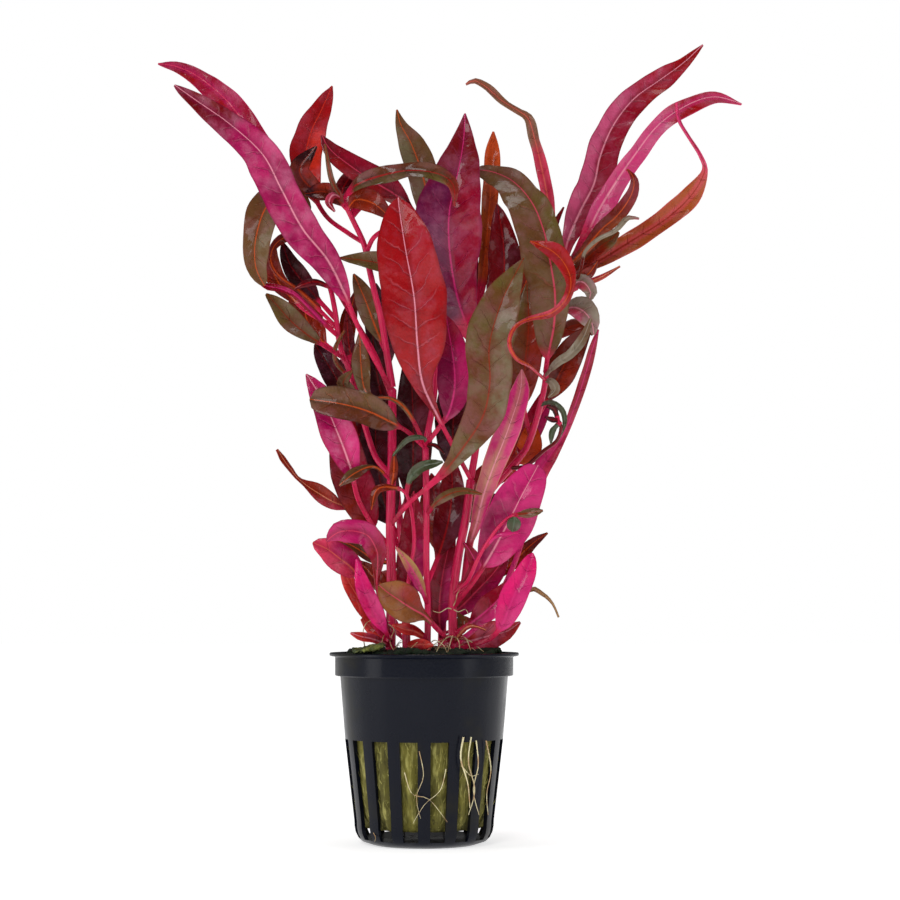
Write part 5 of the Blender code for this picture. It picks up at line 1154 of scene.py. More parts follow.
# Leaves that are part of the stem that they grow from
SMALL_LEAVES = (
    LeafPlan("maroon", "stem_left_upper", 6.0, (
        (-22.6, 182, -10), (-28.5, 185, -11), (-34.2, 189, -13), (-36, 193.5, -13), (-31.2, 199.8, -12)),
        MAROON_CURL),
    LeafPlan("top_narrow", "stem_left_upper", 1.6, (
        (-23.5, 184, -10), (-26.8, 190, -15), (-28.8, 200.5, -17)), PLAIN_OLIVE, petiole=0.0),
    LeafPlan("top_rust", "stem_left_upper", 6.6, (
        (-21.8, 181, -10), (-19.6, 184.2, -14.5), (-14.5, 183, -17), (-9.5, 178.6, -17.5)),
        RUST_ORANGE_RIB, petiole=0.1),
    LeafPlan("top_dark", "stem_left_upper", 5.5, (
        (-22, 181, -10), (-28, 186.3, -12.5), (-34.6, 185.8, -14)), MAROON_CURL),
    LeafPlan("right_petiole", "stem_left_upper", 2.0, (
        (-16.6, 168.5, -10), (-14.8, 173, -12), (-11.5, 175.5, -13), (-8, 176.5, -14)),
        ALL_HOT_PINK, petiole=0.6),
    LeafPlan("brown_edge", "stem_left_upper", 6.5, (
        (-11, 139, -8), (-14, 147, -4), (-17, 155, -3), (-20.4, 162.7, -3)), GREY_AND_BROWN),
    LeafPlan("grey_side", "stem_centre_upper", 6.0, (
        (0, 163.5, -4), (-7, 164.7, -10), (-13, 165.8, -13), (-19, 166.8, -14), (-24.4, 167.3, -14)),
        PLAIN_OLIVE),
    LeafPlan("crimson_bar", "stem_left_shoot", (1.2, 2, 2, 0.6), (
        (-27.3, 159, -5), (-31, 160.3, -7), (-34.5, 159.7, -8), (-37.3, 158.3, -8)), DEEP_CRIMSON),
    LeafPlan("crimson_long", "stem_left_shoot", (1.3, 1.5, 1.6, 1.6, 2, 2.6, 0.6), (
        (-25, 144.5, -5), (-29, 148.4, -8.5), (-33, 152.5, -10), (-37, 156.3, -11), (-41, 158.2, -11),
        (-44.5, 158.9, -11), (-47.2, 159.7, -10)), CRIMSON_AND_PINK),
    LeafPlan("curled_rim", "stem_left_shoot", (1.2, 1.2, 1.4, 1.3, 1.4, 2.2, 3, 2.2), (
        (-25.2, 147, -5), (-29, 151, -5), (-35.5, 157.3, -6), (-41.5, 161.7, -7), (-44.2, 166, -7),
        (-43.4, 170.5, -6), (-40, 173.4, -5), (-36, 173.8, -4)), RUST_ORANGE_RIB),
    LeafPlan("rust_inner", "stem_left_shoot", 5.5, (
        (-25, 147, -5), (-34, 152, -3), (-42, 160, -1.5), (-43.8, 166, -2), (-43.3, 172, -2)),
        RUST_ORANGE_RIB, petiole=0.4),
    LeafPlan("dark_inner", "stem_left_shoot", 6.0, (
        (-25.3, 149.5, -5), (-33, 158, -0.5), (-38.5, 165, 0), (-41, 172, 0)), PAINTED_SHADE_DARK, petiole=0.3),
    LeafPlan("crimson_upright", "stem_left_shoot", 3.6, (
        (-20.5, 131, -3.5), (-20.9, 137, -2), (-21.8, 143, -2), (-22.4, 151.3, -2)), DEEP_CRIMSON),
    LeafPlan("grey_rim", "stem_left_shoot", (1, 1.3, 1.4, 0.6), (
        (-20.8, 132.5, -4), (-25, 136.5, -6), (-25.7, 141, -7), (-23, 146.3, -7)), PLAIN_OLIVE),
    LeafPlan("olive_curl", "stem_left_shoot", 3.6, (
        (-19, 126, -3), (-21.5, 128.8, -6), (-23.4, 131.2, -7), (-20.6, 134.8, -8)), PLAIN_OLIVE),
    LeafPlan("grey_upright", "stem_centre", (1.3, 1.3, 1.4, 1.3, 1.5, 3.4, 5.2, 0.6), (
        (0.3, 112.8, -10), (-3, 120, -12), (-6.5, 124.8, -12), (-10.5, 126.8, -12), (-15, 127, -12),
        (-17.4, 130, -11), (-18.3, 137.5, -11), (-18.6, 146, -10)), GREY_AND_BROWN),
    LeafPlan("dark_twig", "stem_centre", 1.4, (
        (0.4, 113, -10), (3, 113.2, -13), (5.7, 110.8, -14)), PAINTED_SHADE_DARK),
    LeafPlan("brown_pointed", "stem_left", (0.9, 1, 1.3, 3.6, 3, 0.6), (
        (-9.5, 103, -6.5), (-12.6, 106, -10), (-15.3, 107, -12), (-19, 105.7, -14), (-22, 103.7, -15),
        (-24.3, 101.6, -15)), BROWN_GREY_TIP),
    LeafPlan("rust_on_stem", "stem_left", 2.4, (
        (-9.4, 100.5, -6.5), (-9, 103.5, -10), (-8.7, 107, -10.5), (-8.7, 111.5, -10)),
        RUST_ORANGE_RIB),
    LeafPlan("green_strip", "stem_centre", 1.8, (
        (0.3, 113.1, -10), (-0.3, 115.3, -15), (-5, 114.7, -18), (-9, 110.2, -19)), GREEN_LEAF),
    LeafPlan("low_knob", "stem_left", (1.4, 2.4, 2.8, 0.6), (
        (-9.7, 56, -4), (-14.5, 57.7, -10), (-18, 58.5, -13), (-21, 59.5, -14)), ROSE_CRINKLE),
    LeafPlan("low_pink_bud", "stem_left", 2.6, (
        (-9.7, 60.5, -4.3), (-12, 63, -9.7), (-14.9, 68.7, -11.5)), ALL_HOT_PINK),
    LeafPlan("olive_narrow", "stem_centre", 3.0, (
        (0.6, 93.2, -9), (4, 97.2, -14), (8, 99.5, -16), (12, 100.1, -17), (16.5, 99.2, -17)),
        PLAIN_OLIVE),
    LeafPlan("pink_yellow", "stem_centre", 3.4, (
        (1, 67, -8), (-1.5, 74, -14), (-4.2, 78.8, -16), (-8.1, 84, -17)), PINK_YELLOW_RIM),
    LeafPlan("curled_down", "shoot_front_thin", 2.6, (
        (-6.5, 100.5, -11.5), (-11.5, 101.2, -14), (-14, 99.8, -15), (-15.1, 94.7, -15)),
        RUST_ORANGE_RIB, petiole=0.1),
    LeafPlan("grey_green", "shoot_front_thin", 3.6, (
        (-5.3, 99.5, -11.5), (-4, 103.7, -13), (-1, 106.8, -14), (5.3, 108.5, -14)), GREEN_LEAF),
    LeafPlan("rolled_crimson", "stem_right", 4.2, (
        (8.6, 72, -3.2), (12.5, 74.5, -3.6), (14.8, 78.5, -4.8), (13.3, 82.5, -6.4), (11.2, 85.4, -7)),
        CRIMSON_AND_PINK),
    LeafPlan("orange_arc", "stem_right", 1.5, (
        (8.3, 57, -3.2), (12, 61, -11), (15, 61.3, -12), (17.6, 60.3, -12)), SALMON_RUST_TIP),
    LeafPlan("brown_hook", "stem_back_right", 1.8, (
        (5, 57, 9), (18, 64.5, 8), (29.5, 71.7, 5), (33.5, 70.8, 4), (36.6, 68, 4), (38.4, 64, 4)),
        TAN_AND_BROWN),
    LeafPlan("tip_olive", "shoot_front_small", 2.8, (
        (25.5, 93.2, -19), (30, 93.8, -19), (34, 94.5, -19)), PLAIN_OLIVE),
    LeafPlan("tip_green", "shoot_front_small", 4.0, (
        (25.9, 93.4, -19), (25.7, 91, -19.5), (25.2, 88.5, -19)), GREEN_LEAF),
    LeafPlan("side_pink", "shoot_front_small", 1.3, (
        (17.2, 84, -15.5), (21, 87.4, -17), (27, 88.2, -17)), ALL_HOT_PINK),
    LeafPlan("orange_behind", "stem_right_outer", 7.5, (
        (25.5, 107.5, 3.5), (28.2, 109, 7.5), (30.2, 113.2, 8.5), (30.8, 119.8, 8.5)), ORANGE_BLADE),
    LeafPlan("grey_strip", "stem_right_outer", (1.2, 2.6, 3, 2.8, 0.8), (
        (35, 133.8, -6.3), (38.5, 137.3, -17), (42, 139.5, -18), (45.5, 143.8, -17),
        (47.9, 149.8, -15)), GREY_LEAF),
    LeafPlan("green_curl", "stem_right_outer", 1.8, (
        (33, 124.8, -1.5), (36.5, 125.6, -5), (39.6, 123.3, -6), (40.3, 119.5, -6), (39, 115.8, -6)),
        GREEN_LEAF, petiole=0.0),
    LeafPlan("crumpled_top", "stem_right_far", (1.3, 4.4, 5.2, 4, 0.8), (
        (40, 155.5, 9), (43.3, 160, 5), (46, 160.2, 3), (47.9, 157.4, 2), (47.3, 155, 2)), CRUMPLED_PALE),
    LeafPlan("crumpled_low", "stem_right_far", (1.3, 6.4, 7.4, 5, 0.8), (
        (38.8, 151.5, 9.5), (43, 153, 3.6), (46.2, 151.6, -1), (48.2, 148.6, -1.6), (48.8, 145.2, -1.6)),
        CRUMPLED_PALE),
    LeafPlan("thin_curly", "stem_right_far", (1, 1, 1, 1.1, 1.2, 1.4, 1.7, 0.5), (
        (40.5, 158.6, 8.9), (43.4, 160.2, 6.5), (45.2, 164.8, -1), (46.3, 169.2, -7), (50, 172.8, -9),
        (55.4, 175.6, -9.5), (58.6, 179, -9), (62, 178.9, -9)), GREY_PINK_END, petiole=0.45),
    LeafPlan("stub_rust", "stem_right_far", 3.6, (
        (40.3, 158.5, 9), (44, 160.5, 6), (47.5, 163, 5), (50, 166.5, 5)),
        RUST_ORANGE_RIB, petiole=0.1),
    LeafPlan("spike_pink", "stem_right_far", 1.7, (
        (40.6, 160, 8.8), (45, 159.8, 9), (50.5, 161.6, 9), (56.4, 165, 9)), SALMON_RUST_TIP),
    LeafPlan("sprig_a", "shoot_dark_sprig", 1.8, (
        (38.3, 120.9, -10), (37.3, 123.5, -11), (35.2, 124.4, -12)), PAINTED_SHADE_DARK),
    LeafPlan("sprig_b", "shoot_dark_sprig", 1.8, (
        (38.6, 120, -10), (36.4, 120.6, -12), (34.8, 121.4, -13)), PAINTED_SHADE_DARK),
    LeafPlan("sprig_c", "shoot_dark_sprig", 1.8, (
        (38.9, 119.6, -10), (36.8, 117.3, -12), (36.3, 113.8, -13)), GREEN_LEAF),
    LeafPlan("back_low_left", "stem_back_left", 9.5, (
        (-5.6, 66, 10), (-9, 72, 19), (-12, 76, 28), (-13.5, 76.5, 36), (-14, 74, 43)),
        BRIGHT_RED, facing=UPWARD),
    LeafPlan("back_mid_left", "stem_back_left", 10.5, (
        (-7.5, 96, 15.5), (-12, 101, 24), (-16, 106, 31), (-18.5, 111, 37), (-19, 117, 41)),
        DEEP_CRIMSON, facing=UPWARD),
    LeafPlan("back_high_left", "stem_back_left", 9.5, (
        (-9.3, 113, 18.5), (-14, 120, 26), (-18.5, 127, 32), (-22, 133, 36), (-24, 138, 38)),
        MAGENTA_PALE_RIB, facing=UPWARD),
    LeafPlan("back_top_left", "stem_back_left", 12.0, (
        (-12, 134.5, 23), (-10, 145, 30), (-6, 157, 36), (-4, 169, 40), (-4.5, 181, 41)),
        RUST_ORANGE_RIB, petiole=0.1, facing=UPWARD),
    LeafPlan("back_low_right", "stem_back_right", 10.5, (
        (5.3, 64, 10.5), (6, 70, 20), (7, 73, 29), (8, 73.5, 38), (8.5, 71, 45)),
        SALMON_AND_MAGENTA, facing=UPWARD),
    LeafPlan("back_mid", "stem_back_right", 11.5, (
        (5.8, 78, 13), (5, 84, 23), (4, 91, 33), (3, 98, 41), (2, 105, 47)),
        RUST_AND_CRIMSON, facing=UPWARD),
    LeafPlan("back_mid_right", "stem_back_right", 10.5, (
        (6.8, 92, 15.5), (13.5, 98, 24), (20, 104, 31), (25, 110, 36), (28, 117, 39)),
        BRIGHT_RED, facing=UPWARD),
    LeafPlan("back_high_right", "stem_back_right", 9.5, (
        (11.5, 124, 22), (19, 131, 30), (26, 136, 36), (32, 139, 40), (37, 139.5, 43)),
        RUST_ORANGE_RIB, facing=UPWARD),
    LeafPlan("rose_crinkled", "stem_back_right", (1.4, 4.4, 8, 8, 5, 0.8), (
        (5.1, 56.5, 9), (12, 57, 8.5), (16.5, 58.2, 7.5), (20.5, 59.2, 6.5), (24, 60.2, 5.5),
        (27.4, 62.6, 4.5)), ROSE_CRINKLE),
    LeafPlan("foot_red", "stem_centre", (1.2, 2.6, 3.4, 0.8), (
        (0.9, 58.4, -8), (-2.5, 59.8, -11.5), (-5.8, 60.6, -14), (-9, 61.8, -15.5)), CORAL),
    LeafPlan("foot_rust", "shoot_front_thin", (1.1, 2.6, 3, 0.8), (
        (-5.5, 55.2, -10), (-3.2, 55.9, -12.8), (-0.4, 56.3, -14), (2.6, 56, -14.2)), CORAL),
    LeafPlan("back_side_left", "stem_back_left", 9.0, (
        (-9.2, 111, 18.3), (-16, 115, 19), (-24, 118.5, 17), (-31, 123.5, 14)), DEEP_CRIMSON),
    LeafPlan("back_inner_left", "stem_back_left", 8.5, (
        (-6.8, 87, 13.5), (-13, 95, 15), (-20, 101, 14), (-24, 108, 12)), PAINTED_SHADE_DARK),
    LeafPlan("back_upper_left", "stem_back_left", 8.5, (
        (-11, 128, 21.5), (-12, 140, 17), (-13.5, 150, 14), (-14, 160, 13)), PAINTED_SHADE_DARK),
    LeafPlan("back_side_right", "stem_back_right", 8.5, (
        (9.6, 112, 19.5), (16, 119, 20), (22.5, 129, 17), (26, 140, 14)), DEEP_CRIMSON),
    LeafPlan("back_inner_right", "stem_back_right", 8.0, (
        (6.6, 88.5, 14.8), (13, 93.5, 17), (20, 96, 17), (26, 98, 15)), PAINTED_SHADE_DARK),
    LeafPlan("back_upper_right", "stem_back_right", 9.0, (
        (13.6, 138, 24.5), (8, 149, 20), (3, 160, 16), (-1, 172, 14)), PAINTED_SHADE_DARK),
    LeafPlan("back_foot_left", "stem_back_left", 7.0, (
        (-5.2, 58, 8.6), (-10, 61, 15), (-14, 63, 22), (-16.5, 62, 28)),
        SALMON_AND_MAGENTA, facing=UPWARD),
    LeafPlan("back_foot_right", "stem_back_right", 7.0, (
        (5.2, 58.5, 9.8), (11, 61.5, 16), (16, 62.5, 22), (19, 61, 28)), BRIGHT_RED, facing=UPWARD),
    LeafPlan("inner_dark_left", "stem_back_left", 11, (
        (-7.6, 93, 15), (-3.8, 101, 8), (-3.2, 112, 4.2), (-3.4, 126, 4.2), (-4.4, 141, 5)),
        PAINTED_SHADE_DARK, petiole=0.12),
    LeafPlan("inner_crimson_left", "stem_back_left", 8.5, (
        (-5.4, 65, 10), (-4.5, 72, 3.5), (-3.5, 81, 1), (-3, 91, 1), (-3, 100, 2)), CRIMSON_INNER,
        petiole=0.12),
    LeafPlan("inner_red_right", "stem_back_right", 7.0, (
        (5.1, 57.5, 9.2), (4.3, 64, 4), (4.8, 73, 2.5), (6.5, 82, 3), (8.5, 90, 4)), CRIMSON_INNER,
        petiole=0.1),
    LeafPlan("inner_rose_right", "stem_back_right", 8.0, (
        (5.4, 62, 10), (10, 66.5, 8.5), (15, 71.5, 8), (20.5, 77.5, 8), (24.5, 84, 8)), CRIMSON_INNER,
        petiole=0.1),
    LeafPlan("inner_dark_right", "stem_back_right", 11, (
        (8.6, 103, 18), (8.2, 109, 12), (8.2, 118, 9.5), (9, 129, 9.5), (10.5, 141, 10)),
        PAINTED_SHADE_DARK, petiole=0.12),
    LeafPlan("hood_shadow", "stem_left", 3.4, (
        (-9.8, 79.5, -5), (-14.5, 80.5, 0), (-18.5, 83.2, 1), (-22, 85, 1), (-25.5, 85.7, 0)),
        BROWN_GREY_TIP, petiole=0.1),
    LeafPlan("foot_brown", "stem_left", 5.2, (
        (-9.8, 71.5, -5), (-13, 74, 0), (-16, 77.2, 2), (-19, 80.2, 3)), RUST_ORANGE_RIB, petiole=0.1),
    LeafPlan("dark_between", "stem_back_left", 8.0, (
        (-10.3, 120.5, 20.2), (-12, 126, 15), (-13.7, 134, 11), (-14.7, 142, 9.5), (-14.7, 150, 9)), PAINTED_SHADE_DARK,
        petiole=0.12),
    LeafPlan("side_crimson", "stem_right_outer", 6.5, (
        (27, 109.4, 3.3), (28.3, 112.5, 9.5), (31.3, 119, 14.5), (34.4, 126, 16), (37.5, 132.5, 16)),
        CRIMSON_INNER, petiole=0.1),
    LeafPlan("curl_small", "stem_left_upper", (1, 2, 2.2, 0.6), (
        (-23.6, 184.6, -10), (-26.2, 185.6, -13.5), (-27.6, 183.4, -14.5), (-25.9, 180.8, -14.5)),
        GREY_ROSE),
    LeafPlan("top_shadow", "stem_left_upper", (1.3, 4.6, 5.4, 4, 0.6), (
        (-21.2, 179.5, -10), (-18, 184, -7.5), (-13.4, 186.6, -6.5), (-8.6, 185.4, -6.5),
        (-4.6, 183, -6.5)), DEEP_CRIMSON),
    LeafPlan("brown_back", "stem_right_far", (1.3, 3.6, 4.6, 3.8, 0.6), (
        (41, 161.5, 8.5), (46.6, 166.8, 6), (51, 170.8, 3.5), (54, 173, 3), (56.2, 175, 2.5)),
        BROWN_LEAF),
    LeafPlan("spike_red", "stem_right_far", (1.2, 1.6, 2.2, 0.6), (
        (41.2, 164, 8.5), (39, 169.6, 13), (37.4, 175.6, 14), (40.2, 182.2, 14)), DEEP_CRIMSON),
    LeafPlan("curled_cup", "stem_right_outer", (1, 2.4, 2.8, 0.6), (
        (34.7, 131.6, -5), (36.6, 131.4, -7.8), (37.6, 129.2, -8.6), (35.6, 127, -8.6)), GREY_LEAF),
    LeafPlan("foot_side_brown", "stem_right", (1.1, 2.6, 3, 0.7), (
        (8.2, 58.8, -3), (10.6, 60.4, 1), (11, 62.6, 2), (9.6, 65.2, 2.4)), BROWN_LEAF),
    LeafPlan("foot_coral", "stem_left", (1.2, 3, 3.4, 0.8), (
        (-9.6, 58, -4), (-12.6, 59.2, -1), (-15.4, 61.2, 0), (-18, 63.6, 0)), CORAL),
    LeafPlan("top_dark_up", "stem_left_upper", (1.3, 4.4, 4.6, 0.6), (
        (-22.6, 182, -10), (-23.8, 186.4, -7), (-21.4, 190.8, -5), (-17, 193.6, -4)), DEEP_CRIMSON),
    LeafPlan("brown_low_right", "stem_right_far", (1.2, 4.2, 4.6, 3, 0.6), (
        (37.2, 144, 10), (40.4, 146.4, 13), (43.6, 148, 14), (46.4, 147.4, 14), (48.4, 145, 14)),
        BROWN_LEAF),
    LeafPlan("brown_low_left", "stem_left_shoot", (1.3, 4, 4.6, 0.6), (
        (-21.8, 135.2, -4), (-22.4, 142, 0), (-21.6, 150, 1), (-19.6, 158.4, 1)), RUST_ORANGE_RIB),
)


def clear_start(route: Route, parent: StemPlan, parent_route: Route, reach: float) -> Route:
    """Start a route where it has come clear of the stem that it grows from.

    Args:
        route: The route from the table.
        parent: The stem that it grows from.
        parent_route: That stem's route.
        reach: How clear it has to be, in metres.

    Returns:
        The route that the frame's node follows.
    """
    axis, _ = parent_route.nearest(route.points[0])
    whole = Route([axis] + route.points[1:])
    share = 0.0
    distance = 0.0
    while distance < reach and share < LONGEST_HIDDEN_SHARE:
        share += SHARE_STEP
        point = whole.at(share)
        near, place = parent_route.nearest(point)
        distance = (point - near).length - parent.radius_at(place)
    started = [whole.at(share)]
    for index, point in enumerate(whole.points[1:], start=1):
        started.append(point if whole.marks[index] > share else whole.at(share + SHARE_STEP * index))
    return Route(started)


@dataclass(frozen=True)
class StemFinish:
    """The colours of a stem: its skin, its darker streaks and its cloudy patches."""

    skin: Pigment = Pigment.STEM_PINK
    streak: Pigment = Pigment.STEM_SHADE
    patch: Pigment = Pigment.ROSE
    streaks_around: float = 3.0
    streaks_along: float = 0.12
    cloud_scale: float = 130.0
    depth: float = 0.00012

    def material(self) -> bpy.types.Material:
        """Make the finish, or give it if it is made.

        Returns:
            A material that reads a stem's own places, round and along it in millimetres.
        """
        name = f"stem_{self.skin.name.lower()}"
        if name in bpy.data.materials:
            return bpy.data.materials[name]
        graph = Graph(name)
        around, along, _ = graph.split(graph.attribute("leaf_place", "Vector"))
        around = graph.math("MULTIPLY", around, self.streaks_around)
        along = graph.math("MULTIPLY", along, self.streaks_along)
        streaks = graph.noise(1.0, vector=graph.join(around, along, 0.0))
        cloud = graph.noise(self.cloud_scale)
        skin = graph.mix(graph.ease(streaks, 0.4, 0.65, 0.0, 0.7), self.skin, self.streak)
        skin = graph.mix(graph.ease(cloud, 0.55, 0.75, 0.0, 0.5), skin, self.patch)
        graph.set(Base_Color=skin, Roughness=graph.ease(cloud, 0.3, 0.7, 0.25, 0.4), Coat_Weight=0.2)
        graph.set(Coat_Roughness=0.1, Specular_IOR_Level=0.2)
        graph.bump(streaks, self.depth)
        return graph.material


class Stems:
    """The stems with their small leaves, and the routes that the leaves start from."""

    def __init__(self) -> None:
        """Work out every stem's route."""
        self.plans = {plan.node: plan for plan in STEMS}
        self.routes: dict[str, Route] = {}
        self.axes: dict[str, Vector] = {}
        for plan in STEMS:
            route = Route.seen(plan.places)
            if plan.on:
                route, self.axes[plan.node] = self.start(route, plan.on, plan.radius)
            self.routes[plan.node] = route

    def start(self, route: Route, on: str, radius: float) -> tuple[Route, Vector]:
        """Start a branch or a stalk beside its stem.

        Args:
            route: Its route from the table.
            on: The stem that it grows from.
            radius: Its own radius in millimetres.

        Returns:
            Its route from where it is clear, and the point in the stem that it comes from.
        """
        axis, _ = self.routes[on].nearest(route.points[0])
        reach = (radius + JOINT_GAP) * MM
        return clear_start(route, self.plans[on], self.routes[on], reach), axis

    def rooted(self, leaf: LeafPlan) -> Route:
        """Plan a small leaf's way from its stem.

        Args:
            leaf: The leaf's plan.

        Returns:
            Its route, with its foot just past the axis of its stem.
        """
        points = Route.seen(leaf.places).points
        axis, place = self.routes[leaf.on].nearest(points[0])
        inward = (axis - points[1]).normalized()
        points[0] = axis + inward * self.plans[leaf.on].radius_at(place) * FOOT_SHARE
        return Route(points)

    def ring(self, plan: StemPlan, surface: Surface, share: float, centre: Vector) -> list[int]:
        """Add the points round a stem at one share of its length.

        Args:
            plan: The stem's plan.
            surface: The surface that gathers them.
            share: The share of the length.
            centre: The middle of the ring.

        Returns:
            The numbers of the points.
        """
        route = self.routes[plan.node]
        direction = route.heading(share)
        sideways = direction.cross(FORWARD).normalized()
        towards = sideways.cross(direction)
        end = (1.0 - share) * route.length / (plan.radius * MM)
        rounding = min(1.0, STEM_END + (1.0 - STEM_END) * math.sqrt(min(end, 1.0)))
        radius = plan.radius_at(share) * rounding
        ring = []
        for index in range(STEM_SIDES):
            turn = math.tau * index / STEM_SIDES
            flute = 1.0 + STEM_FLUTE * math.cos(STEM_FLUTES * turn)
            out = (sideways * math.cos(turn) + towards * math.sin(turn)) * radius * flute
            place = (turn * radius / MM, share * route.length / MM, share)
            ring.append(surface.point(centre + out, place))
        return ring

    def piece(self, plan: StemPlan) -> Piece:
        """Make one stem with its small leaves.

        Args:
            plan: The stem's plan.

        Returns:
            One piece that stands for the stem's node.
        """
        surface = Surface()
        finish = StemFinish()
        if "dark" in plan.node:
            finish = StemFinish(Pigment.DEEP_RED, Pigment.MAROON, Pigment.DARK_CRIMSON)
        route = self.routes[plan.node]
        count = max(FEWEST_RINGS, round(route.length / MM * STEM_RINGS_PER_MM))
        steps = [(0.0, self.axes[plan.node])] if plan.on else []
        steps += [(index / count, route.at(index / count)) for index in range(count + 1)]
        rings = [self.ring(plan, surface, *step) for step in steps]
        surface.sweep(rings, surface.finish_index(finish.material()))
        for leaf in SMALL_LEAVES:
            if leaf.on == plan.node:
                LeafBlade(leaf, self.rooted(leaf)).add_to(surface)
        return surface.piece("fine_" + plan.node)

    def leaf(self, plan: LeafPlan) -> Piece:
        """Make one main leaf, with its stalk reaching into the stem.

        Args:
            plan: The leaf's plan.

        Returns:
            One piece that stands for the leaf's node.
        """
        route, axis = self.start(Route.seen(plan.places), plan.on, PETIOLE_WIDTH / 2.0)
        surface = Surface()
        LeafBlade(plan, route, axis).add_to(surface)
        return surface.piece("fine_" + plan.name)


class Maker(NodeTree):
    """A geometry tree that is built in code, with named inputs."""

    def __init__(self, name: str, inputs: dict[str, str]) -> None:
        """Start a tree with a geometry input and output.

        Args:
            name: The tree's name.
            inputs: The kind of each further input, by name.
        """
        super().__init__(bpy.data.node_groups.new(name, "GeometryNodeTree"))
        sockets = [("Geometry", "INPUT", "Geometry"), ("Geometry", "OUTPUT", "Geometry")]
        sockets += [(label, "INPUT", kind) for label, kind in inputs.items()]
        for label, way, kind in sockets:
            self.tree.interface.new_socket(label, in_out=way, socket_type="NodeSocket" + kind)
        self.inputs = self.node("NodeGroupInput").outputs
        self.output = self.node("NodeGroupOutput").inputs[0]

    def apply(self, geometry: Socket, made: Piece, values: dict[str, object]) -> Piece:
        """End the tree, run it on an object, and leave a plain mesh.

        Args:
            geometry: What the tree has made, which still lacks its material.
            made: The object that the tree starts from.
            values: A value for each named input.

        Returns:
            The same object, with the result as its own mesh and no modifier.
        """
        real = self.node("GeometryNodeRealizeInstances", geometry)
        painted = self.node("GeometryNodeSetMaterial", real.outputs[0], Material=self.inputs["Material"])
        self.put(self.output, painted.outputs[0])
        modifier = made.modifiers.new(self.tree.name, "NODES")
        modifier.node_group = self.tree
        for item in self.tree.interface.items_tree:
            if item.in_out == "INPUT" and item.name in values:
                modifier[item.identifier] = values[item.name]
        graph = bpy.context.evaluated_depsgraph_get()
        mesh = bpy.data.meshes.new_from_object(made.evaluated_get(graph))
        made.modifiers.remove(modifier)
        made.data = mesh
        return made


@dataclass(frozen=True)
class PotFinish:
    """Blue-black moulded plastic with a soft gloss and faint scuffs."""

    body: Pigment = Pigment.POT_BLACK
    scuff: Pigment = Pigment.WOOL_DARK
    cloud_scale: float = 70.0
    grain_scale: float = 1400.0
    grain_depth: float = 0.00004
    grain_strength: float = 0.6

    def material(self) -> bpy.types.Material:
        """Make the finish.

        Returns:
            The material.
        """
        graph = Graph("pot_plastic")
        cloud = graph.noise(self.cloud_scale, 4.0)
        worn = graph.mix(graph.ease(cloud, 0.5, 0.75, 0.0, 0.35), self.body, self.scuff)
        gloss = graph.ease(cloud, 0.35, 0.65, 0.22, 0.34)
        graph.set(Base_Color=worn, Roughness=gloss, Specular_IOR_Level=0.16)
        graph.bump(graph.noise(self.grain_scale, 2.0), self.grain_depth, self.grain_strength)
        return graph.material


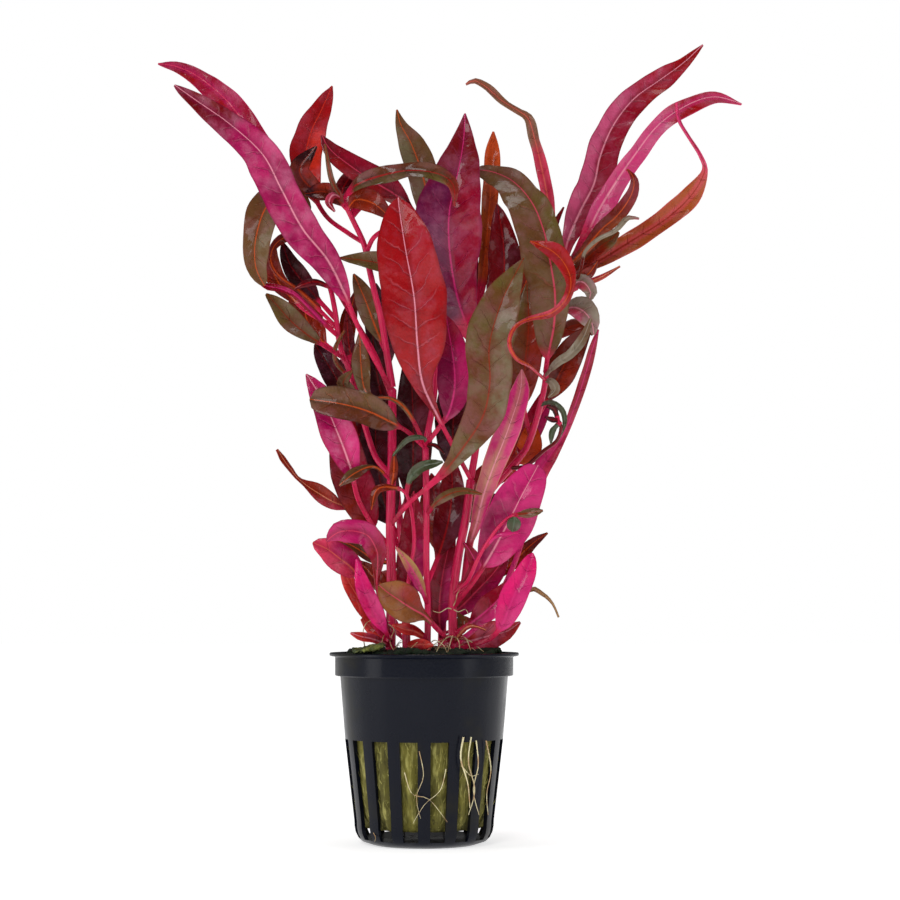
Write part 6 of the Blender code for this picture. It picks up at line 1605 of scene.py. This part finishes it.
@dataclass
class NetPot:
    """The net pot: a turned cup with a rim flange, a stepped collar, ribs and slots."""

    rim_radius: float = 27.0
    rim_top: float = 54.0
    rim_thickness: float = 0.9
    collar_radius: float = 25.4
    collar_bottom: float = 47.5
    body_radius: float = 23.9
    slot_top: float = 29.7
    slot_top_radius: float = 22.5
    foot_radius: float = 19.8
    foot_height: float = 6.5
    foot_roundness: float = 2.6
    flat_radius: float = 14.8
    base_thickness: float = 1.3
    wall: float = 1.2
    bevel: float = 0.2
    slots: int = 16
    slot_bottom: float = 1.9
    slot_width_top: float = 5.2
    slot_width_bottom: float = 4.2
    rib_columns: int = 6
    slot_rows: int = 14
    row_power: float = 0.8
    sharp_angle: float = math.radians(40.0)

    def outer_radius(self, height: float) -> float:
        """Give the outer radius of the slotted wall and the round corner below it.

        Args:
            height: Millimetres above the table.

        Returns:
            The radius in millimetres.
        """
        if height >= self.foot_height:
            share = (height - self.foot_height) / (self.slot_top - self.foot_height)
            return self.foot_radius + (self.slot_top_radius - self.foot_radius) * share
        share = 1.0 - max(height, 0.0) / self.foot_height
        bulge = math.sqrt(max(0.0, 1.0 - share ** self.foot_roundness))
        return self.flat_radius + (self.foot_radius - self.flat_radius) * bulge

    def rows(self) -> tuple[list[tuple[float, float]], list[tuple[float, float]], int]:
        """List the outer and inner profile, from the rim down, and where the slots start.

        Returns:
            Two lists of radius and height, whose slotted rows pair up, and the number of
            rows above the slots in both.
        """
        lip = self.collar_radius - self.wall
        top, rim, collar, body = self.rim_top, self.rim_radius, self.collar_radius, self.body_radius
        step, soft = self.collar_bottom, self.bevel
        low = top - self.rim_thickness
        outer = [(lip, top), (rim - soft, top), (rim, top - soft), (rim, low + soft), (rim - soft, low)]
        outer += [(collar + soft, low - soft), (collar, low - 2 * soft), (collar, step + soft)]
        outer += [(collar - soft, step), (body + soft, step), (body, step - soft)]
        inner = [(lip, top), (lip, step + 4 * soft), (body - self.wall, step - 2 * soft)]
        while len(inner) < len(outer):
            share = (len(inner) - 2) / (len(outer) - 2)
            height = step + (self.slot_top - step) * share
            radius = body + (self.slot_top_radius - body) * share - self.wall
            inner.append((radius, height - 3 * soft))
        start = len(outer)
        for index in range(self.slot_rows + 1):
            share = index / self.slot_rows
            height = self.slot_top + (self.slot_bottom - self.slot_top) * share ** self.row_power
            radius = self.outer_radius(height)
            outer.append((radius, height))
            inner.append((radius - self.wall, max(height, self.base_thickness)))
        for share in (0.5, 0.0):
            height = self.slot_bottom * share
            outer.append((self.outer_radius(height) if share else self.flat_radius, height))
            inner.append((self.flat_radius * (0.9 + share * 0.1) - self.wall, self.base_thickness))
        for share in (0.5, 0.0):
            outer.append((self.flat_radius * share, 0.0))
            inner.append((self.flat_radius * share, self.base_thickness))
        return outer, inner, start

    def rib_turn(self, radius: float, height: float) -> float:
        """Give half the angle that a rib fills.

        Args:
            radius: The wall's radius in millimetres.
            height: Millimetres above the table.

        Returns:
            The angle in radians.
        """
        share = (height - self.slot_bottom) / (self.slot_top - self.slot_bottom)
        share = min(max(share, 0.0), 1.0)
        width = self.slot_width_bottom + (self.slot_width_top - self.slot_width_bottom) * share
        return math.pi / self.slots - math.asin(min(width / 2.0 / max(radius, width), 1.0))

    def sector(self) -> Piece:
        """Make one rib with half a slot to each side, which the whole pot repeats.

        Returns:
            The sector, open at both ends of its turn.
        """
        outer, inner, start = self.rows()
        edge = math.pi / self.slots
        work = bmesh.new()
        sides = []
        for rows in (outer, inner):
            sides.append([])
            for radius, height in rows:
                rib = self.rib_turn(radius, height)
                steps = range(self.rib_columns + 1)
                turns = [-edge] + [rib * (2.0 * step / self.rib_columns - 1.0) for step in steps] + [edge]
                sides[-1].append([work.verts.new(on_wall(radius, turn, height)) for turn in turns])
        outside, inside = sides
        last = start + self.slot_rows
        width = self.rib_columns + 2
        quads = []
        for rings, turned in ((outside, True), (inside, False)):
            for row, (high, low) in enumerate(zip(rings, rings[1:])):
                for column in range(width):
                    if not start <= row < last or column not in (0, width - 1):
                        quads.append((turned, high[column], high[column + 1], low[column + 1], low[column]))
        for column, turned in ((1, True), (width - 1, False)):
            for row in range(start, last):
                quads.append((turned, outside[row][column], inside[row][column],
                              inside[row + 1][column], outside[row + 1][column]))
        for row, turned in ((start, False), (last, True)):
            for column in (0, width - 1):
                quads.append((turned, outside[row][column], inside[row][column],
                              inside[row][column + 1], outside[row][column + 1]))
        for turned, *corners in quads:
            work.faces.new(corners[::-1] if turned else corners)
        return show_work("fine_pot", work)

    def piece(self) -> Piece:
        """Make the pot: a tree repeats the sector round the axis and welds the seams.

        Returns:
            The whole pot, whose faces point outwards.
        """
        tree = Maker("round_the_axis", {"Count": "Int", "Material": "Material"})
        points = tree.node("GeometryNodePoints", Count=tree.inputs["Count"])
        number = tree.node("GeometryNodeInputIndex")
        part = tree.math("DIVIDE", number.outputs[0], tree.inputs["Count"])
        angle = tree.node("ShaderNodeCombineXYZ", Z=tree.math("MULTIPLY", part, math.tau))
        placed = tree.node("GeometryNodeInstanceOnPoints", Points=points.outputs[0],
                           Instance=tree.inputs["Geometry"], Rotation=angle.outputs[0])
        real = tree.node("GeometryNodeRealizeInstances", Geometry=placed.outputs[0])
        welded = tree.node("GeometryNodeMergeByDistance", Geometry=real.outputs[0], Distance=WELD)
        values = {"Count": self.slots, "Material": PotFinish().material()}
        pot = tree.apply(welded.outputs[0], self.sector(), values)
        work = bmesh.new()
        work.from_mesh(pot.data)
        bmesh.ops.dissolve_degenerate(work, dist=WELD, edges=work.edges)
        bmesh.ops.recalc_face_normals(work, faces=work.faces)
        work.to_mesh(pot.data)
        work.free()
        pot.data.shade_smooth()
        pot.data.set_sharp_from_angle(angle=self.sharp_angle)
        return pot


@dataclass(frozen=True)
class WoolFinish:
    """Olive mineral wool with upright streaks, darker at random in clouds, and with painted shade where its
    streaks dip.
    """

    body: Pigment = Pigment.WOOL_OLIVE
    dark_tone_and_dip_shade: Pigment = Pigment.WOOL_DARK
    strand: Pigment = Pigment.WOOL_LIGHT
    streak_scale: float = 700.0
    cloud_scale: float = 110.0
    stretch: float = 0.22
    depth: float = 0.0006

    def material(self) -> bpy.types.Material:
        """Make the finish.

        Returns:
            The material.
        """
        graph = Graph("wool")
        x, y, z = graph.split(graph.place())
        drawn = graph.join(x, y, graph.math("MULTIPLY", z, self.stretch))
        streaks = graph.noise(self.streak_scale, 4.0, 0.65, drawn)
        cloud = graph.noise(self.cloud_scale)
        body = graph.mix(graph.ease(cloud, 0.35, 0.65, 0.0, 0.6), self.body, self.dark_tone_and_dip_shade)
        body = graph.mix(graph.ease(streaks, 0.5, 0.68, 0.0, 0.75), body, self.strand)
        # Painted shade: darker where the streaks dip, the same streaks that the bump below sinks
        body = graph.mix(graph.ease(streaks, 0.42, 0.3, 0.0, 0.7), body, self.dark_tone_and_dip_shade)
        graph.set(Base_Color=body, Roughness=0.85)
        graph.bump(streaks, self.depth)
        return graph.material


@dataclass(frozen=True)
class PlainFinish:
    """One colour with a cloud of a second in it, for roots, crumbs and strands."""

    name: str
    body: Pigment
    cloud: Pigment
    roughness: float = 0.7
    cloud_scale: float = 260.0

    def material(self) -> bpy.types.Material:
        """Make the finish.

        Returns:
            The material.
        """
        graph = Graph(self.name)
        share = graph.ease(graph.noise(self.cloud_scale), 0.38, 0.62)
        graph.set(Base_Color=graph.mix(share, self.body, self.cloud), Roughness=self.roughness)
        return graph.material


@dataclass
class WoolPlug:
    """The block of mineral wool, bulging a little between the pot's ribs.

    It bulges into the slots from bulge_from below their top, fully after bulge_fade more.
    fold and grain are the sizes of its two kinds of roughness: waves round the block, and
    waves for each millimetre of height.
    """

    pot: NetPot
    bottom: float = 4.6
    top: float = 53.2
    gap: float = 0.25
    bulge: float = 0.9
    bulge_from: float = 1.0
    bulge_fade: float = 4.0
    rough: float = 0.5
    fold: tuple[float, float] = (7.0, 0.06)
    grain: tuple[float, float] = (26.0, 0.35)
    foot_height: float = 5.0
    foot_share: float = 0.86
    columns: int = 256
    rows: int = 72

    def rough_at(self, turn: float, height: float, sizes: tuple[float, float]) -> float:
        """Give one kind of roughness, from -1 to 1, at an angle and a height."""
        around, upward = sizes
        return noise.noise(Vector((math.cos(turn) * around, math.sin(turn) * around, height * upward)))

    def radius(self, turn: float, height: float) -> float:
        """Give the block's radius.

        Args:
            turn: The angle round the axis.
            height: Millimetres above the table.

        Returns:
            The radius in millimetres.
        """
        pot = self.pot
        if height > pot.slot_top:
            share = (height - pot.slot_top) / (pot.collar_bottom - pot.slot_top)
            wall = pot.slot_top_radius + (pot.body_radius - pot.slot_top_radius) * min(share, 1.0)
        else:
            wall = pot.outer_radius(height)
        plain = wall - pot.wall - self.gap
        below = (pot.slot_top - self.bulge_from - height) / self.bulge_fade
        open_here = min(1.0, max(0.0, below))
        window = max(0.0, -math.cos(turn * pot.slots)) * open_here
        rough = self.rough_at(turn, height, self.fold) + 0.5 * self.rough_at(turn, height, self.grain) - 0.5
        foot = math.sqrt(max(min(1.0, (height - self.bottom) / self.foot_height), 0.0))
        swell = self.foot_share + (1.0 - self.foot_share) * foot
        return (plain + window * self.bulge + self.rough * rough) * swell

    def wall(self, surface: Surface, low: float, high: float, rows: int, columns: int) -> list[list[int]]:
        """Add rings of points on the block's outside.

        Args:
            surface: The surface that gathers them.
            low: The height of the lowest ring, in millimetres.
            high: The height of the highest.
            rows: How many steps lie between them.
            columns: How many points a ring has.

        Returns:
            The numbers of the points, ring by ring.
        """
        rings = []
        for row in range(rows + 1):
            height = low + (high - low) * row / rows
            turns = [math.tau * column / columns for column in range(columns)]
            spots = [on_wall(self.radius(turn, height), turn, height) for turn in turns]
            rings.append([surface.point(spot) for spot in spots])
        return rings

    def block(self) -> Piece:
        """Make the block: rings of points with upright folds, closed above and below.

        Returns:
            The block.
        """
        surface = Surface()
        finish = surface.finish_index(WoolFinish().material())
        rings = self.wall(surface, self.bottom, self.top, self.rows, self.columns)
        surface.sweep(rings, finish)
        return surface.piece("wool_block")


ROOTS = (
    (0.28, (11.2, 30, -21.4), (10.4, 24, -21.3), (12.4, 17, -20.6), (13.0, 10, -19.2)),
    (0.22, (13.4, 30, -20.4), (12.6, 23, -20.6), (14.4, 15, -19.0), (12.6, 8, -18.9)),
    (0.20, (14.8, 29, -19.2), (15.4, 22, -18.2), (14.0, 15, -19.0), (15.6, 8, -16.4)),
    (0.18, (10.6, 22, -21.2), (12.2, 20, -21.0), (13.6, 19, -20.2), (15.4, 19.5, -18.2)),
    (0.20, (17.6, 29, -15.6), (19.0, 21, -14.0), (17.8, 14, -14.6), (18.2, 8, -12.8)),
    (0.15, (-5.6, 20, -21.5), (-3.4, 14, -22.4), (1.4, 12.4, -22.2), (6.6, 6, -20.6)),
    (0.13, (6.2, 21, -22.0), (4.6, 15, -22.4), (0.2, 11, -22.3), (-3.2, 5.6, -20.9)),
    (0.12, (-1.4, 26, -22.9), (-0.2, 19, -22.9), (-2.2, 13, -22.5), (-1.0, 7, -21.6)),
    (0.15, (-14.2, 4.6, -12.2), (-14.4, 3.2, -13.4), (-13.8, 1.8, -14.6), (-14.0, 0.5, -15.4)),
    (0.24, (7.6, 58.6, -4.2), (5.4, 57.6, -8.0), (3.0, 56.4, -12.0), (0.8, 54.6, -15.0)),
    (0.22, (7.8, 58.4, -4.4), (6.4, 58.2, -9.0), (4.6, 56.2, -13.0), (3.4, 54.0, -16.0)),
    (0.20, (8.2, 58.6, -4.4), (8.0, 58.6, -10.0), (7.4, 56.6, -14.0), (6.6, 53.8, -17.0)),
    (0.22, (8.4, 58.4, -4.2), (9.4, 58.0, -9.0), (10.0, 56.6, -13.0), (10.2, 53.8, -16.0)),
    (0.20, (8.8, 58.4, -4.0), (11.4, 58.4, -7.0), (12.6, 56.6, -11.0), (13.4, 54.0, -14.0)),
    (0.20, (9.0, 58.0, -3.6), (12.4, 57.6, -7.0), (15.0, 55.8, -10.0), (17.0, 54.2, -12.0)),
    (0.20, (7.9, 66.3, -3.6), (6.6, 66.6, -6.0), (4.4, 65.4, -7.5), (2.6, 65.8, -8.5)),
    (0.18, (8.3, 66.3, -3.6), (9.8, 65.6, -6.0), (11.8, 66.3, -7.2), (12.6, 64.8, -8.2)),
    (0.16, (8.2, 67.0, -3.6), (9.0, 68.8, -6.0), (9.4, 70.6, -7.2), (10.2, 72.0, -8.2)),
    (0.18, (-16.8, 54.5, -9.0), (-17.4, 60.4, -9.5), (-15.2, 63.2, -9.8), (-9.8, 62.8, -6.0)),
    (0.22, (-10.2, 62.0, -5.4), (-8.6, 60.4, -9.0), (-9.8, 57.2, -12.0), (-8.4, 54.0, -14.0)),
    (0.18, (-9.6, 60.4, -5.6), (-11.6, 58.6, -9.0), (-12.4, 56.0, -12.0), (-14.6, 54.2, -13.0)),
    (0.18, (1.2, 56.0, -8.2), (3.0, 57.5, -12.0), (5.5, 56.0, -16.0), (6.5, 53.9, -19.0)),
    (0.18, (0.6, 55.6, -8.4), (-1.5, 57.0, -13.0), (-3.5, 55.5, -17.0), (-5.0, 53.8, -20.0)),
)


@dataclass(frozen=True)
class Scatter:
    """Small shapes that are strewn over a ground.

    count is how many lie on a square metre, size the radius of each in metres, stretch how
    much each is stretched each way, and shape the kind of node that makes it. tilts and
    growths are the least and the greatest turn and scale.
    """

    name: str
    finish: PlainFinish
    count: float
    size: float
    stretch: Place
    shape: str = "GeometryNodeMeshIcoSphere"
    tilts: tuple[Place, Place] = ((-0.5, -0.5, -math.pi), (0.5, 0.5, math.pi))
    growths: tuple[Place, Place] = ((0.5, 0.5, 0.5), (1.3, 1.3, 1.3))

    def over(self, ground: Piece, seed: int) -> Piece:
        """Strew the shapes over a ground, by a geometry tree.

        Args:
            ground: The object whose faces they lie on, which becomes the piece.
            seed: The start of the chance values.

        Returns:
            The ground's object, with the strewn shapes as its only mesh.
        """
        kinds = {"Density": "Float", "Size": "Float", "Seed": "Int", "Stretch": "Vector",
                 "Material": "Material"}
        tree = Maker(self.name, kinds)
        given = tree.inputs
        spots = tree.node("GeometryNodeDistributePointsOnFaces", Mesh=given["Geometry"],
                          Density=given["Density"], Seed=given["Seed"])
        if self.shape == "GeometryNodeMeshIcoSphere":
            crumb = tree.node(self.shape, Radius=given["Size"], Subdivisions=1)
        else:
            crumb = tree.node(self.shape, Radius_Bottom=given["Size"], Vertices=4, Depth=STRAND_LENGTH * MM)
        three = {"data_type": "FLOAT_VECTOR"}
        lean, grow = [tree.node("FunctionNodeRandomValue", *ends, settings=three, Seed=given["Seed"])
                      for ends in (self.tilts, self.growths)]
        scale = tree.node("ShaderNodeVectorMath", grow.outputs[0], given["Stretch"],
                          settings={"operation": "MULTIPLY"})
        placed = tree.node("GeometryNodeInstanceOnPoints", Points=spots.outputs[0],
                           Instance=crumb.outputs[0], Rotation=lean.outputs[0], Scale=scale.outputs[0])
        values = {"Density": self.count, "Size": self.size, "Seed": seed, "Stretch": Vector(self.stretch),
                  "Material": self.finish.material()}
        made = tree.apply(placed.outputs[0], ground, values)
        made.name = self.name
        return made


@dataclass
class PlantBed:
    """What lies on and in the wool: cream roots, moss crumbs and loose strands.

    Loose roots start at the stems' feet, at chance depths. Each number pair that starts
    with root holds the least and the greatest chance value, in millimetres.
    """

    pot: NetPot
    plug: WoolPlug
    seed: int = 7
    tuft_place: tuple[float, float] = (-15.5, -15.0)
    tuft_radius: float = 4.6
    tuft_height: float = 2.4
    tuft_wave: float = 1.6
    crumb_height: float = 0.9
    crumb_wave: float = 1.4
    crumb_gap: float = 0.8
    sleeve_edge: float = 1.0
    stem_feet: tuple[float, ...] = (8.0, 1.0, -9.6, -5.0)
    feet_height: float = 53.0
    root_depths: tuple[float, float] = (-10.0, 8.0)
    root_reaches: tuple[float, float] = (3.0, 8.0)
    root_rises: tuple[float, float] = (1.0, 4.5)
    root_ends: tuple[float, float] = (-0.2, 2.0)
    root_radii: tuple[float, float] = (0.1, 0.2)

    def roots(self) -> Piece:
        """Make the roots that are listed, and loose ones at the stems' feet.

        Returns:
            One piece of thin tapering tubes.
        """
        surface = Surface()
        finish = surface.finish_index(PlainFinish("root", Pigment.CREAM, Pigment.TAN, 0.5).material())
        for radius, *places in ROOTS:
            self.add_root(surface, finish, Route.seen(places), radius)
        chance = random.Random(self.seed)
        for _ in range(LOOSE_ROOTS):
            turn = chance.uniform(0.0, math.tau)
            reach = chance.uniform(*self.root_reaches)
            foot = chance.choice(self.stem_feet)
            start = Vector((foot, chance.uniform(*self.root_depths), self.feet_height))
            out = Vector((math.cos(turn), math.sin(turn), 0.0))
            middle = start + out * reach * 0.5 + Vector((0.0, 0.0, chance.uniform(*self.root_rises)))
            end = start + out * reach + Vector((0.0, 0.0, chance.uniform(*self.root_ends)))
            route = Route([part * MM for part in (start, middle, end)])
            self.add_root(surface, finish, route, chance.uniform(*self.root_radii))
        return surface.piece("roots")

    def add_root(self, surface: Surface, finish: int, route: Route, radius: float) -> None:
        """Add one root that thins towards its end.

        Args:
            surface: The surface that gathers it.
            finish: The number of its material.
            route: Its middle line.
            radius: Its radius at the start, in millimetres.
        """
        rings = []
        for index in range(ROOT_RINGS + 1):
            share = index / ROOT_RINGS
            direction = route.heading(share)
            sideways = direction.orthogonal().normalized()
            towards = sideways.cross(direction)
            size = radius * (1.0 - ROOT_THINNING * share) * MM
            turns = [math.tau * corner / ROOT_SIDES for corner in range(ROOT_SIDES)]
            outs = [(sideways * math.cos(turn) + towards * math.sin(turn)) * size for turn in turns]
            rings.append([surface.point(route.at(share) + out) for out in outs])
        surface.sweep(rings, finish)

    def ground(self, middle: tuple[float, float], radius: float, height: float, wave: float) -> Piece:
        """Make an uneven round ground on the wool's top, with every size in millimetres.

        Args:
            middle: How far to the right and to the back its middle is.
            radius: Its radius.
            height: Its mean height.
            wave: How far it rises and falls.

        Returns:
            The ground, which the shapes strewn over it replace.
        """
        work = bmesh.new()
        bmesh.ops.create_grid(work, x_segments=GROUND_STEPS, y_segments=GROUND_STEPS, size=radius * MM)
        for vert in list(work.verts):
            if vert.co.length > radius * MM:
                work.verts.remove(vert)
            else:
                vert.co.z = (height + wave * noise.noise(vert.co * GROUND_WAVES)) * MM
                vert.co.xy += Vector(middle) * MM
        return show_work("ground", work)

    def sleeve(self) -> Piece:
        """Make the wool's outside alone, for its fibres to lie on.

        Returns:
            The sleeve, which the fibres replace.
        """
        surface = Surface()
        low, high = self.plug.bottom + self.sleeve_edge, self.pot.slot_top - self.sleeve_edge
        rings = self.plug.wall(surface, low, high, SLEEVE_ROWS, SLEEVE_COLUMNS)
        surface.sweep(rings, 0, closed=False)
        mesh = bpy.data.meshes.new("sleeve")
        mesh.from_pydata(surface.points, [], surface.faces)
        return show("sleeve", mesh)

    def pieces(self) -> list[Piece]:
        """Make the roots, the moss and the loose fibres.

        Returns:
            Four pieces.
        """
        dark = PlainFinish("moss_dark", Pigment.DARK_GREEN, Pigment.MOSS_BLACK, 0.9)
        light = PlainFinish("moss_light", Pigment.MOSS_LIGHT, Pigment.GREEN, 0.8)
        loose = PlainFinish("wool_loose", Pigment.WOOL_LIGHT, Pigment.WOOL_OLIVE, 0.9)
        crumbs = Scatter("moss_crumbs", dark, 1.1e6, 0.0011, (1.0, 1.0, 0.8))
        tufts = Scatter("moss_tufts", light, 2.6e6, 0.0008, (1.0, 1.0, 0.9))
        fibres = Scatter("wool_fibres", loose, 5.5e5, 0.00012, (1.0, 1.0, 1.8), "GeometryNodeMeshCone")
        inside = self.pot.collar_radius - self.pot.wall - self.crumb_gap
        top, seed = self.plug.top, self.seed
        made = [self.roots()]
        bed = self.ground((0.0, 0.0), inside, top + self.crumb_height, self.crumb_wave)
        made.append(crumbs.over(bed, seed))
        bed = self.ground(self.tuft_place, self.tuft_radius, top + self.tuft_height, self.tuft_wave)
        made.append(tufts.over(bed, seed))
        made.append(fibres.over(self.sleeve(), seed))
        return made


@dataclass
class Studio:
    """A plain pale floor, soft lights and the camera of the usual view."""

    eye: Eye = EYE
    room_light: float = 0.12
    floor_glow: float = 0.7
    glow_reach: tuple[float, float] = (0.1, 0.5)
    floor_tone: float = 0.02
    aim: Vector = field(default_factory=lambda: Vector((0.0, 0.0, 0.13)))

    def floor(self) -> None:
        """Lay a wide pale floor, which is no part of the plant."""
        work = bmesh.new()
        bmesh.ops.create_grid(work, x_segments=1, y_segments=1, size=FLOOR_SIZE)
        floor = show_work("floor", work)
        graph = Graph("floor_paper")
        tone = graph.ease(graph.noise(3.0), 0.0, 1.0, 0.0, self.floor_tone)
        right, back, _ = graph.split(graph.place())
        reach = graph.math("MAXIMUM", graph.math("ABSOLUTE", right), graph.math("ABSOLUTE", back))
        glow = graph.ease(reach, *self.glow_reach, self.floor_glow, 1.0)
        graph.set(Base_Color=graph.mix(tone, Pigment.FLOOR_WHITE, Pigment.TAN), Roughness=0.8)
        graph.set(Emission_Color=Pigment.FLOOR_WHITE, Emission_Strength=glow)
        floor.data.materials.append(graph.material)

    def light(self, name: str, place: Place, size: tuple[float, float], watts: float) -> None:
        """Hang one soft box, aimed at the middle of the plant.

        Args:
            name: The light's name.
            place: Where it hangs, in metres.
            size: Its width and height in metres.
            watts: Its strength.
        """
        lamp = bpy.data.lights.new(name, "AREA")
        lamp.shape = "RECTANGLE"
        lamp.size, lamp.size_y = size
        lamp.energy = watts
        made = show(name, lamp)
        made.location = place
        made.rotation_euler = (self.aim - Vector(place)).to_track_quat("-Z", "Y").to_euler()

    def camera(self) -> None:
        """Set the camera at the eye of the usual view."""
        data = bpy.data.cameras.new("camera")
        data.lens = self.eye.lens
        data.clip_start = NEAREST_SEEN
        made = show("camera", data)
        made.location = Vector((0.0, -self.eye.distance, self.eye.height)) * MM
        made.rotation_euler = (math.radians(90.0 + self.eye.pitch), 0.0, -math.radians(self.eye.yaw))
        bpy.context.scene.camera = made

    def world(self) -> None:
        """Surround the plant with white that is seen in full and lights it softly."""
        world = bpy.data.worlds.new("room")
        world.use_nodes = True
        tree = NodeTree(world.node_tree)
        ray = tree.node("ShaderNodeLightPath").outputs["Is Camera Ray"]
        level = tree.node("ShaderNodeMapRange", Value=ray, To_Min=self.room_light, To_Max=1.0)
        background = world.node_tree.nodes["Background"].inputs
        tree.put(background["Strength"], level.outputs[0])
        tree.put(background["Color"], (1.0, 1.0, 1.0, 1.0))
        bpy.context.scene.world = world
        bpy.context.scene.view_settings.view_transform = "Standard"

    def build(self) -> None:
        """Set up the floor, the lights and the camera."""
        self.floor()
        self.world()
        self.light("left_box", (-1.0, -0.4, 0.35), (0.35, 0.9), 3.2)
        self.light("right_box", (0.95, -0.55, 0.35), (0.35, 0.9), 2.2)
        self.light("front_box", (-0.3, -1.1, 0.7), (0.4, 0.4), 3.8)
        self.light("top_box", (0.0, 0.1, 1.1), (0.4, 0.4), 2.6)
        self.camera()


def finish_piece(piece: Piece, slot: str, *nodes: str) -> None:
    """Let a piece ride on the body, log its slot, and hide the nodes that it stands for.

    Args:
        piece: A finished piece.
        slot: The record's material slot.
        nodes: The frame's nodes that it replaces.
    """
    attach(piece, BODY)
    if nodes:
        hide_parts(*nodes)
    LOG.info("%s: %d faces, slot %s", piece.name, len(piece.data.polygons), slot)


def main() -> None:
    """Build the studio, the pot with its wool, and the plant."""
    logging.basicConfig(level=logging.INFO, format="%(message)s")
    slots = {part["node"]: part["material_slot"] for part in frame["record"]["subparts"]}
    Studio().build()
    pot = NetPot()
    plug = WoolPlug(pot)
    finish_piece(pot.piece(), slots["pot"], "pot")
    finish_piece(plug.block(), slots["rockwool_plug"], "rockwool_plug")
    for piece in PlantBed(pot, plug).pieces():
        finish_piece(piece, slots["rockwool_plug"])
    stems = Stems()
    for plan in STEMS:
        finish_piece(stems.piece(plan), slots[plan.node], plan.node)
    for plan in LEAVES:
        finish_piece(stems.leaf(plan), slots[plan.name], plan.name)


if __name__ == "__main__":
    main()
